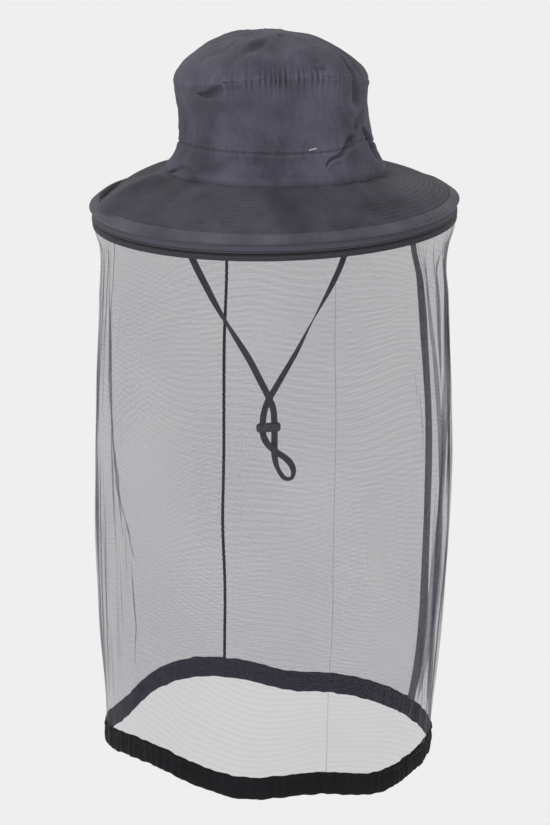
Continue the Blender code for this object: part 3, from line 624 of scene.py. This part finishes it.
def crown_surface(angle, height, outset=0.0):
    """The crown below the tip, at an angle and an even height above the brim."""
    pushed = crown_relief(angle, height) + outset
    half_x = flow(height, CROWN_HEIGHTS, CROWN_X) + pushed
    half_y = flow(height, CROWN_HEIGHTS, CROWN_Y) + pushed
    foot = 0.0026 * hump(height - 0.0062, 0.0048) - 0.0012 * np.clip(1 - height / 0.003, 0, 1) ** 2
    lifted = 0.0065 * hump(turned(angle, radians(-50)), 0.3) * hump(height - BAND_TOP, 0.016)
    droop = rim_drop(angle) * eased((height - 0.05) / (RIM_HEIGHT - 0.05))
    return leaning(oval(half_x + foot, half_y + foot, angle, height + lifted + droop), height)


def leaning(points, height):
    """The soft crown slumps a little to one side, and narrows, above its lower seam."""
    slump = eased((height - 0.03) / 0.05)[..., None]
    points[..., :2] = points[..., :2] * (1 - NARROWING * slump) + np.array(LEAN) * slump
    return points


def add_crown_half(name, start, low, high, rows):
    lap = SEAM_LAP / RIM_Y
    angle, share = ring_grid(330, rows, start - lap, start + pi + lap)
    points = crown_surface(angle, low + (high - low) * share)
    stand_in(add_cloth(name, points, FABRIC, "crown", "hat"), name)


def tip_surface(angle, share):
    """The domed tip, at a share of the way out from its centre."""
    rim = RIM_HEIGHT + rim_drop(angle)
    height = rim + (APEX_HEIGHT - rim) * np.maximum(1 - share**2.6, 0) ** 0.75
    even = oval(share * RIM_X, share * RIM_Y, angle, height)
    path = RIM_HEIGHT + RIM_X * (1 - share) + 0.4 * (height - rim)
    relief = crown_relief(angle, path) * eased((share - 0.05) / 0.4)
    sag = -0.0012 * wander(angle, share, 17, (1, 3), 4) * eased(share / 0.3) * eased((1 - share) / 0.2)
    return leaning(even + square_to(even) * (relief + sag)[..., None], path)


def add_tip():
    angle, row = ring_grid(400, 90)
    share = (1 - row * 0.985) ** 0.8 * (1 + SEAM_LAP / RIM_X)
    surface = tip_surface(angle, np.maximum(share, 0.012))
    surface = np.concatenate([surface, np.broadcast_to(surface[-1].mean(0), surface[-1:].shape)])
    piece = add_cloth("crown_tip_cloth", surface, FABRIC, "crown", "hat", True, surface[..., :2])
    stand_in(piece, "crown_tip")


def line_with_normals(surface, angle, height):
    """A line over a surface of (angle, height), with the surface's normals along it."""
    step = 0.0008
    here = surface(angle, height)
    around = surface(angle + step / RIM_Y, height) - here
    up = surface(angle, height + step) - here
    return here, unit(np.cross(around, up))


def crown_stitches():
    """Topstitching beside each seam of the crown."""
    turn = np.linspace(-pi, pi, 1600)
    lines = []
    for height in (0.0035, BAND_TOP - BESIDE_SEAM, BAND_TOP + BESIDE_SEAM, RIM_HEIGHT - BESIDE_SEAM):
        lines.append(line_with_normals(crown_surface, turn, np.full_like(turn, height)))
    rise = np.linspace(0.002, RIM_HEIGHT - 0.002, 200)
    for seam in SIDE_SEAMS:
        for side in (-1, 1):
            angle = np.full_like(rise, seam + side * BESIDE_SEAM / RIM_Y)
            lines.append(line_with_normals(crown_surface, angle, rise))
    return lines


def sweatband_face(angle, height):
    return crown_surface(angle, height, -FABRIC - 0.0014)


def add_sweatband():
    angle, row = ring_grid(360, 16)
    height = 0.001 + 0.023 * row
    inset = -FABRIC - 0.0006 - 0.0002 * wander(angle, height, 21, (20, 60), 60)
    points = crown_surface(angle, height, inset)
    stand_in(add_cloth("sweatband_cloth", points, 0.0008, "lining", "hat", True), "sweatband")
    turn = np.linspace(-pi, pi, 900)
    line, normals = line_with_normals(sweatband_face, turn, np.full_like(turn, 0.0222))
    add_stitches("sweatband_stitching", [(line, -normals)], "dark_thread", "hat")


def add_label():
    """A small plain tab, creased where it is folded into the seam."""
    low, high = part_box("label_tab")
    start = radians(-90)
    angle, row = ring_grid(24, 8, start, start + (high[0] - low[0]) / RIM_Y)
    height = low[2] + 0.6 * (high[2] - low[2]) * row + 0.12 * (angle - start) * RIM_Y
    outset = 0.0007 + 0.00015 * np.sin(row * pi)
    points = crown_surface(angle, height, outset)
    stand_in(add_cloth("label_tab_cloth", points, 0.0004, "label", "hat"), "label_tab")


def build_crown():
    add_tip()
    for side, start in (("front", SIDE_SEAMS[0] - pi), ("rear", SIDE_SEAMS[0])):
        add_crown_half(f"crown_wall_{side}", start, BAND_TOP - SEAM_LAP, RIM_HEIGHT + SEAM_LAP, 90)
        add_crown_half(f"crown_band_{side}", start, 0.0002, BAND_TOP + 2 * SEAM_LAP, 44)
    add_stitches("crown_stitching", crown_stitches(), "thread", "hat")
    add_sweatband()
    add_label()


# -------- brim


def quilt_place(share):
    """Counts up by one at each row of quilting."""
    return share / BINDING_FROM * QUILT_BANDS


def quilt_relief(angle, share):
    """Cloth that swells between the rows of stitching and is drawn into small puckers by them."""
    place = quilt_place(share)
    swell = np.abs(np.sin(place * pi)) ** 0.8
    ticks = wander(angle, place, 31, (150, 260), 1.2, 6)
    uneven = 0.0003 * wander(angle, share, 32, (9, 24), 9)
    return 0.00042 * swell + 0.00022 * ticks * (1 - swell) ** 2 + uneven


def brim_sag(angle, share):
    """Slow waves in the brim, and a ridge at one side, that die out at its edge."""
    waves = 0.0012 * wander(angle, share, 33, (2, 6), 3) * np.sin(pi * np.clip(share, 0, 1)) ** 2
    ridge = 0.0062 * hump(turned(angle, radians(-178)), 0.13)
    ridge -= 0.005 * hump(turned(angle, radians(152)), 0.26)
    return waves + ridge * eased(share / 0.25) * eased((1 - share) / 0.16)


def add_brim_cloth(name, node, side):
    """One of the brim's cloths: side is 1 for the upper and -1 for the lower."""
    angle, row = ring_grid(720, 120)
    share = 0.995 - 1.015 * row if side > 0 else 1.015 * row - 0.02
    offset = side * (BRIM_FACE - 0.0004 + quilt_relief(angle, share)) + brim_sag(angle, share)
    points = brim_point(angle, share, offset)
    stand_in(add_cloth(name, points, 0.0005, "brim", "hat", True, points[..., :2]), node)


def brim_lines(shares, face, sagging):
    """Lines round both faces of the brim at some shares, with the way off the cloth along them."""
    turn = np.linspace(0, 2 * pi, 1500)
    lines = []
    for side in (1, -1):
        for share in shares:
            at = np.full_like(turn, share)
            offset = side * face + brim_sag(turn, at) * sagging
            points = brim_point(turn, at, offset)
            above = brim_point(turn, at, offset + side * 0.001)
            lines.append((points, (above - points) / 0.001))
    return lines


def add_quilting():
    rows = [BINDING_FROM * row / QUILT_BANDS for row in range(1, QUILT_BANDS)]
    lines = brim_lines(rows, BRIM_FACE - 0.0003, True)
    add_stitches("brim_quilting", lines, "thread", "hat", 0.0034, 0.0005)


def add_filler():
    angle, row = ring_grid(240, 12)
    share = 0.99 - 0.97 * row
    points = brim_point(angle, share, FILLER_FACE + brim_sag(angle, share))
    filler = add_cloth("brim_filler", points, 0.0008, "lining", "hat", True, points[..., :2])
    stand_in(filler, "brim_interfacing")


def binding_section(row):
    """Share out and height over the brim's middle, once round the folded strip."""
    turn = row * 2 * pi
    depth = (1 + BINDING_OVERHANG - BINDING_FROM) / 2
    share = BINDING_FROM + depth + depth * np.sign(np.cos(turn)) * np.abs(np.cos(turn)) ** 0.35
    height = BINDING_FACE * np.sign(np.sin(turn)) * np.abs(np.sin(turn)) ** 0.5
    return share, height


def add_binding():
    angle, row = ring_grid(900, 33)
    share, height = binding_section(row)
    pull = wanders(angle, row, (0.00014, 34, (120, 220), 3, 6), (0.0002, 35, (12, 30), 3))
    points = brim_point(angle, share, height + pull * np.sign(height))
    band = add_skin("brim_binding_cloth", points[::-1], "binding", "hat")
    stand_in(band, "brim_edge_binding")
    lines = brim_lines((0.905, 0.965), BINDING_FACE + 0.00005, False)
    add_stitches("binding_stitching", lines, "thread", "hat")


def build_brim():
    add_brim_cloth("brim_upper_cloth", "brim_top", 1)
    add_brim_cloth("brim_lower_cloth", "brim_under", -1)
    add_filler()
    add_quilting()
    add_binding()


# -------- zip


def zip_band(name, path, finish, body):
    """A tape that follows a path of (radius, height) all along the zip, a thread apart at its ends."""
    knots = np.arange(len(path))
    angle, row = ring_grid(900, 6 * len(path), ZIP_STARTS, ZIP_ENDS)
    place = flow(row * knots[-1], knots, path)
    ripple = 0.00012 * wander(angle, row, 41, (70, 160), 4, 6)
    points = on_ring(place[..., 0] + ripple, angle, place[..., 1])
    return add_cloth(name, points, 0.0005, finish, body)


def add_teeth(name, row, body, towards):
    """The coil's turns: small rounded bars, wider at the head that meets the other row."""
    count = int((ZIP_ENDS - ZIP_STARTS) * TAPE_RADIUS / TOOTH_PITCH)
    angle = ZIP_STARTS + (np.arange(count) + 0.5) * TOOTH_PITCH / TAPE_RADIUS
    root, head = row[::-1] if towards < 0 else row
    head += towards * 0.00015
    levels = ((root, 0.42, 0.0006), (root + (head - root) * 0.5, 0.46, 0.00095), (head, 0.62, 0.0009))
    rings = []
    for height, half_share, half_out in levels:
        for side, out in ((-1, -1), (1, -1), (1, 1), (-1, 1)):
            at = angle + side * half_share * 0.5 * TOOTH_PITCH / TAPE_RADIUS
            rings.append(on_ring(TAPE_RADIUS + out * half_out, at, height))
    points = np.stack(rings, 1)
    sides = []
    for low in (0, 4):
        for i in range(4):
            after = (i + 1) % 4
            sides.append((low + i, low + after, low + 4 + after, low + 4 + i))
    shape = np.array([(3, 2, 1, 0), (8, 9, 10, 11), *sides])
    faces = (np.arange(count)[:, None, None] * 12 + shape).reshape(-1, 4)
    uv = np.tile(np.arange(12)[:, None] * 0.0004, (count, 2))
    teeth = add_mesh(name, points, faces, uv, "zip_plastic", body)
    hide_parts(name.replace("_teeth", "_coil"))


def add_zip_stitches(name, height, body):
    turn = np.linspace(ZIP_STARTS, ZIP_ENDS, 1500)
    points = on_ring(TAPE_RADIUS + 0.0004, turn, height)
    add_stitches(name, [(points, on_ring(1.0, turn) - RING_CENTRE)], "thread", body, 0.0028)


def bevelled_node(name, width, finish):
    """A CAD node with softened edges and a finish of its own."""
    node = frame["nodes"][name]
    node.data.materials.clear()
    node.data.materials.append(FINISHES[finish])
    soften = node.modifiers.new("softened", "BEVEL")
    soften.width = width
    soften.segments = 3


def build_zip():
    face, behind = TAPE_RADIUS + 0.0003, TAPE_RADIUS - 0.0031
    upper = [(face, UPPER_TAPE[0]), (face, sum(UPPER_TAPE) / 2), (face - 0.0012, UPPER_TAPE[1] + 0.0018)]
    guard = [(behind, NET_TOP - 0.0005), (behind, -0.0085), (behind + 0.0008, -0.0042)]
    lower = [(face, LOWER_TAPE[0]), (face + 0.0002, sum(LOWER_TAPE) / 2), (face, LOWER_TAPE[1])]
    stand_in(zip_band("zip_upper_cloth", upper, "zip_tape", "hat"), "zip_upper_tape")
    zip_band("zip_guard", guard, "zip_tape", "hat")
    stand_in(zip_band("zip_lower_cloth", lower, "veil_tape", "veil"), "zip_lower_tape")
    add_teeth("zip_upper_teeth", UPPER_COIL, "hat", -1)
    add_teeth("zip_lower_teeth", LOWER_COIL, "veil", 1)
    add_zip_stitches("zip_upper_stitching", UPPER_TAPE[0] + 0.0012, "hat")
    add_zip_stitches("zip_lower_stitching", LOWER_TAPE[1] - 0.0012, "veil")
    bevelled_node("zip_slider", 0.00012, "metal")
    bevelled_node("zip_pull", 0.0002, "metal")
    bevelled_node("zip_end_stop", 0.0001, "zip_plastic")
    bevelled_node("zip_start_box", 0.0001, "zip_plastic")


# -------- veil

NET_STARTS = (-0.038, -0.042)  # mean heights of the net's top and of where it comes free of the zip
NET_FOLDS = (  # (degrees, mm up) down each fold, width in mm, how far its sides draw together, rise in mm
    (((-166, -170), (-160, -262), (-154, -320), (-153, -385), (-156, -440)), 5, 1.5, 1.2),
    (((-170, -150), (-163, -262), (-157, -320), (-155, -385), (-159, -450)), 3.5, 1.4, 1),
    (((-164, -220), (-157, -280), (-151, -330), (-150, -400)), 3, 1.35, 0.8),
    (((-172, -80), (-168, -180), (-164, -300), (-163, -420)), 16, 0.7, 2.2),
    (((-32, -50), (-44, -70), (-52, -100)), 7, 0.9, 1.6),
    (((-43, -55), (-41, -130), (-36, -240), (-37, -490)), 8, 1.5, 2.5),
    (((-60, -85), (-56, -155), (-50, -230)), 8, 0.6, 1.2),
    (((-56, -310), (-50, -390), (-42, -480)), 9, 0.6, 1.5),
    (((-43, -320), (-48, -400), (-55, -475)), 8, 0.6, 1.2),
    (((-25, -60), (-23, -250), (-26, -490)), 12, 2.0, 2),
    (((-141, -400), (-138, -488)), 10, 0.5, 1.2),
    (((6, -100), (3, -300), (6, -490)), 10, 1.8, 2.2),
    (((-12, -80), (-8, -300), (-11, -490)), 11, 2.0, 1.8),
    (((140, -60), (138, -200), (134, -330)), 12, 0.5, 1.2),
    (((160, -120), (164, -340), (162, -460)), 12, 0.6, 1.2),
)
HEM_DIPS = (  # degrees round the veil, and mm by which the soft hem stands above or below its even height
    (-180, 0), (-160, 8), (-147, 8), (-132, 0), (-118, -7), (-90, -5), (-66, -16), (-45, -12), (0, -13),
    (50, -14), (64, -16), (85, -3), (102, 4), (122, 0), (136, -11), (156, -9), (180, 0),
)
DIPS_START = -0.26  # height below which the net follows the hem's dips
SIDE_SLIPS = (  # height, and how far round the net has slipped there at the side seam, in mm
    (-498, -8), (-400, -13), (-240, -14), (-110, 3), (-55, 8), (-38, 0),
)


def hem_dip(angle):
    degrees, rises = np.array(HEM_DIPS).T
    return flow(turned(angle, 0.0), np.radians(degrees), rises * MM)


def net_centre(height):
    fall = np.clip((DRIFT_STARTS - height) / (DRIFT_STARTS - HEM_BOTTOM), 0, 1)[..., None]
    return RING_CENTRE[:2] * (1 - fall) + np.array(NET_DRIFT) * fall


def net_knots(angle):
    """The frame's own points down the net at each angle, from the zip to inside the hem."""
    points = [on_ring(NET_TOP_RADIUS, angle, NET_TOP), on_ring(NET_TOP_RADIUS, angle, LOWER_TAPE[0] - 0.001)]
    for height, radius in zip(NET_HEIGHTS, NET_RADII):
        point = oval(radius, radius, angle, height)
        point[..., :2] += net_centre(np.asarray(height))
        points.append(point)
    return np.stack(points)


def net_waves(angle, height):
    """Gathers under the zip that merge into long soft waves, and die out at the hem."""
    fall, rise = NET_STARTS[1] - height, height - HEM_TOP
    free = (1 - np.exp(-np.maximum(fall, 0) / 0.018)) * (1 - np.exp(-np.maximum(rise, 0) / 0.03))
    fine, broad = (0.00034, 51, (140, 230), 45, 9), (0.0015, 53, (6, 15), 14, 6)
    waves = wanders(angle, height, fine, (0.00058, 52, (34, 62), 30, 7), broad)
    waves *= 1 + hump(turned(angle, radians(-20)), 0.5)
    gathered = 0.0004 * wander(angle, height, 54, (110, 170), 10, 6) * np.exp(-np.maximum(rise, 0) / 0.02)
    return waves * free + gathered


def net_fold(angle, height, path, width, doubled, rise):
    """How one fold moves the net round and out: a soft ridge whose sides draw together."""
    degrees, heights = np.array(path[::-1]).T
    heights, width = heights * MM, width * MM
    centre = np.interp(height, heights, np.radians(degrees))
    ends = eased((height - heights[0]) / 0.1 + 0.5) * eased((heights[-1] - height) / 0.1 + 0.5)
    place = turned(angle, centre) * HEM_RADIUS / width
    pull = place * np.exp(-place * place / 2) * ends
    return -doubled * width * pull, rise * MM * np.exp(-place * place) * ends


def net_surface(angle, row, inset=0.0):
    """The hanging net, at a share of the way down from the zip."""
    levels = (*NET_STARTS, *NET_HEIGHTS)
    height = levels[0] + (levels[-1] - levels[0]) * row
    knots = net_knots(angle[0])
    points = flow(height[:, 0], levels[::-1], knots[::-1])
    around, out = np.zeros_like(angle), net_waves(angle, height) - inset
    for fold in NET_FOLDS:
        moved, lifted = net_fold(angle, height, *fold)
        around += moved
        out += lifted
    around += side_seam_shift(angle, height)
    points[..., 2] += hem_dip(angle) * eased((DIPS_START - height) / (DIPS_START - HEM_TOP))
    outward = oval(1.0, 1.0, angle, 0.0)
    sideways = oval(1.0, 1.0, angle + pi / 2, 0.0)
    return points + outward * out[..., None] + sideways * around[..., None]


def side_seam_shift(angle, height):
    """The net has slipped round at the side, so its seam hangs askew."""
    heights, slips = np.array(SIDE_SLIPS).T * MM
    return flow(height, heights, slips) * hump(turned(angle, SIDE_SEAM_AT), 0.45)


def add_net_panel(name, start, end):
    """One panel of net, cut wider than its arc by its fullness and gathered into the zip and the hem."""
    columns = int((end - start) / radians(0.2))
    angle, row = ring_grid(columns, 110, start, end)
    points = net_surface(angle, row[::-1])
    drop = NET_STARTS[0] - NET_HEIGHTS[-1]
    uv = np.stack([(angle - start) * max(NET_RADII), row * drop], -1)
    panel = add_skin(f"{name}_tulle", points, "net", "veil", uv)
    stand_in(panel, name)


def add_seam(name, at, width, thickness, finish):
    """A strip over the join of two panels, a single layer of net if it has no thickness."""
    across, row = ring_grid(7, 260, -0.5, 0.5)
    narrowed = flow(row, (0.0, 0.12, 0.3, 0.8, 1.0), (1.35, 1.25, 0.75, 0.65, 1.1))
    angle = np.full_like(row, at)
    points = net_surface(angle + across * width * narrowed / NET_TOP_RADIUS, 0.995 - 0.985 * row, 0.0006)
    pinch = 0.0003 * wander(row * 2 * pi, row, 61, (50, 110), 2, 6)
    pinch += 0.0011 * wander(row * 2 * pi, row, 63, (1, 5), 2, 4) * np.sin(pi * row)
    points += oval(1.0, 1.0, angle + pi / 2, 0.0) * pinch[..., None]
    if thickness:
        seam = add_cloth(f"{name}_tape", points, thickness, finish, "veil")
    else:
        seam = add_skin(f"{name}_tape", points, finish, "veil")
    stand_in(seam, name)


def add_veil_binding():
    angle, row = ring_grid(600, 10)
    ripple = 0.0001 * wander(angle, row, 62, (80, 150), 3, 6)
    radius = NET_TOP_RADIUS - 0.0003 + ripple
    points = on_ring(radius, angle, LOWER_TAPE[0] + (NET_TOP - LOWER_TAPE[0]) * row)
    band = add_cloth("veil_binding_cloth", points, 0.0006, "hem", "veil", True)
    stand_in(band, "veil_top_binding")


# -------- hem

CHANNEL = 0.7  # share of the hem's height below the stitched line


def hem_half(share):
    """Half the casing's thickness: a full channel for the elastic, and a puffed frill above."""
    low = np.sin(pi * np.clip(share / CHANNEL, 0, 1)) ** 0.55
    high = np.sin(pi * np.clip((share - CHANNEL) / (1 - CHANNEL), 0, 1)) ** 0.6
    return 0.00035 + 0.00115 * low + 0.0012 * high


def hem_surface(angle, share, side, outset=0.0):
    height = HEM_BOTTOM + (HEM_TOP - HEM_BOTTOM) * share
    ruche = 1 + wanders(angle, share, (0.22, 71, (70, 140), 5, 7), (0.12, 72, (20, 50), 3))
    wave = wanders(angle, share, (0.0004, 73, (14, 40), 3), (0.0002, 74, (80, 150), 2))
    radius = HEM_RADIUS + side * (hem_half(share) * ruche + outset) + wave
    wobble = hem_dip(angle) + 0.0004 * wander(angle, share, 75, (30, 80), 1)
    points = oval(radius, radius, angle, height + wobble)
    points[..., :2] += net_centre(height)
    return points


def add_hem():
    angle, share = ring_grid(1300, 22)
    outer, inner = hem_surface(angle, share, 1), hem_surface(angle, share[::-1], -1)
    casing = add_skin("hem_cloth", np.concatenate([outer, inner, outer[:1]]), "hem", "veil")
    stand_in(casing, "hem_casing")
    turn = np.linspace(0, 2 * pi, 2400)
    line = np.full_like(turn, CHANNEL)
    lines = []
    for side in (1, -1):
        points = hem_surface(turn, line, side, 0.0001)
        lines.append((points, side * oval(1.0, 1.0, turn, 0.0)))
    add_stitches("hem_stitching", lines, "dark_thread", "veil", 0.003)


def add_elastic():
    low, high = ((corner[2] - HEM_BOTTOM) / (HEM_TOP - HEM_BOTTOM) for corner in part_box("hem_elastic"))
    angle, row = ring_grid(720, 8)
    middle = hem_surface(angle, low + (high - low) * row, 0)
    outer = middle + oval(0.0004, 0.0004, angle, 0.0)
    band = add_cloth("hem_elastic_knit", outer, 0.0008, "elastic", "veil", True)
    stand_in(band, "hem_elastic")


def add_join_tab():
    angle, row = ring_grid(20, 16, FRONT_SEAM_AT - 0.035, FRONT_SEAM_AT + 0.035)
    points = hem_surface(angle, 0.06 + 0.9 * row, 1, 0.0005)
    tab = add_cloth("hem_join_cloth", points, 0.0004, "hem", "veil")
    stand_in(tab, "hem_join_tab")


def build_veil():
    add_veil_binding()
    add_hem()
    add_elastic()
    add_join_tab()
    add_net_panel("net_panel_left", BACK_SEAM_AT, FRONT_SEAM_AT + 2 * pi)
    add_net_panel("net_panel_right_rear", SIDE_SEAM_AT, BACK_SEAM_AT)
    add_net_panel("net_panel_right_front", FRONT_SEAM_AT, SIDE_SEAM_AT)
    add_seam("net_back_seam", BACK_SEAM_AT, 0.0022, 0.0005, "hem")
    add_seam("net_side_seam_tape", SIDE_SEAM_AT, 0.007, 0.0003, "seam_net")
    add_seam("net_front_seam", FRONT_SEAM_AT, 0.0006, 0, "net")


# -------- chin strap


def even_route(route, count):
    """Points evenly spaced along a smooth curve through the route."""
    knots = reach_along(np.array(route))
    dense = flow(np.linspace(0, knots[-1], 12 * count), knots, route)
    reach = reach_along(dense)
    return at_distance(dense, reach, np.linspace(0, reach[-1], count))


def tape_surface(path, twist):
    """A flat tape with rounded edges along a path, turned by its twist in degrees."""
    along = unit(np.gradient(path, axis=0))
    across = unit(np.cross(along, (0, 1, 0)))
    face = np.cross(across, along)
    turn = np.radians(np.interp(np.linspace(0, 1, len(path)), np.linspace(0, 1, len(twist)), twist))[:, None]
    side = across * np.cos(turn) + np.cross(along, across) * np.sin(turn)
    up = face * np.cos(turn) + np.cross(along, face) * np.sin(turn)
    section = np.linspace(0, 2 * pi, 25)
    wide = np.sign(np.cos(section)) * np.abs(np.cos(section)) ** 0.55 * STRAP_WIDTH / 2
    thick = np.sin(section) * STRAP_THICKNESS / 2 * (1 + 0.25 * np.cos(section * 2))
    return path + side * wide[:, None, None] + up * thick[:, None, None]


def add_tape(name, route, twist):
    path = even_route(route, 150)
    tape = add_skin(f"{name}_knit", tape_surface(path, twist), "strap", None)
    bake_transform(tape)
    stand_in(tape, name)
    length = float(reach_along(path)[-1])


def add_toggle():
    """A rounded slide with a slot through it for each strand, and a moulded groove between them."""
    low, high = (Vector(corner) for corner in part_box("toggle"))
    centre, size = (low + high) / 2, high - low
    toggle = add_block("toggle_slide", centre, size, 0.0029, 6, "toggle")
    for side in (-1, 1):
        place = centre + Vector((side * LOOP_ROUTE[-1][0], 0, 0))
        cut(toggle, add_block("slot", place, Vector((0.0068, 0.0022, 0.02)), 0.0008, 3))
    front = centre - Vector((0, size.y / 2, 0))
    cut(toggle, add_block("groove", front, Vector((0.0016, 0.0012, 0.0052)), 0.0005, 3))
    toggle.data.shade_smooth()
    toggle.data.set_sharp_from_angle(angle=radians(40))
    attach(toggle, "toggle")
    stand_in(toggle, "toggle")
    return toggle


def add_block(name, centre, size, radius, segments, finish=None):
    """A box with rounded edges."""
    shape = bmesh.new()
    bmesh.ops.create_cube(shape, size=1.0, matrix=Matrix.Diagonal((*size, 1)))
    reach = min(radius, min(size) / 2 - 0.0001)
    bmesh.ops.bevel(shape, geom=shape.edges, offset=reach, segments=segments, profile=0.5, affect="EDGES")
    bmesh.ops.translate(shape, vec=centre, verts=shape.verts)
    mesh = bpy.data.meshes.new(name)
    shape.to_mesh(mesh)
    shape.free()
    if finish:
        mesh.materials.append(FINISHES[finish])
    return add_object(name, mesh)


def cut(base, cutter):
    """Takes the cutter's shape out of the base for good."""
    change = base.modifiers.new("cut", "BOOLEAN")
    change.operation = "DIFFERENCE"
    change.object = cutter
    done = bpy.data.meshes.new_from_object(base.evaluated_get(bpy.context.evaluated_depsgraph_get()))
    base.modifiers.remove(change)
    base.data = done
    bpy.data.objects.remove(cutter, do_unlink=True)


def add_anchor(name):
    """A short sewn tab of webbing, from which the strap hangs."""
    low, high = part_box(name)
    side = 1 if low[0] > 0 else -1
    across, row = np.meshgrid(np.linspace(low[1], high[1], 12), np.linspace(0, 1, 18))
    if side < 0:
        across = across[:, ::-1]
    knots = ((side * ANCHOR_X[0], low[2]), (side * ANCHOR_X[1], 0.004), (side * ANCHOR_X[2], high[2]))
    place = flow(row * 2, (0, 1, 2), knots)
    points = np.stack([place[..., 0] + side * 0.0004, across, place[..., 1]], -1)
    stand_in(add_cloth(f"{name}_web", points, 0.0009, "strap", "chin_strap"), name)


def build_chin_strap():
    toggle = add_toggle()
    add_tape("chin_strap_left", LEFT_ROUTE, LEFT_TWIST)
    add_tape("chin_strap_right", RIGHT_ROUTE, RIGHT_TWIST)
    add_tape("chin_strap_loop", LOOP_ROUTE, LOOP_TWIST)
    for name in ("strap_anchor_left", "strap_anchor_right"):
        add_anchor(name)


# -------- assembly


def main():
    add_camera()
    build_chin_strap()
    add_studio()
    build_crown()
    build_brim()
    build_zip()
    build_veil()


main()
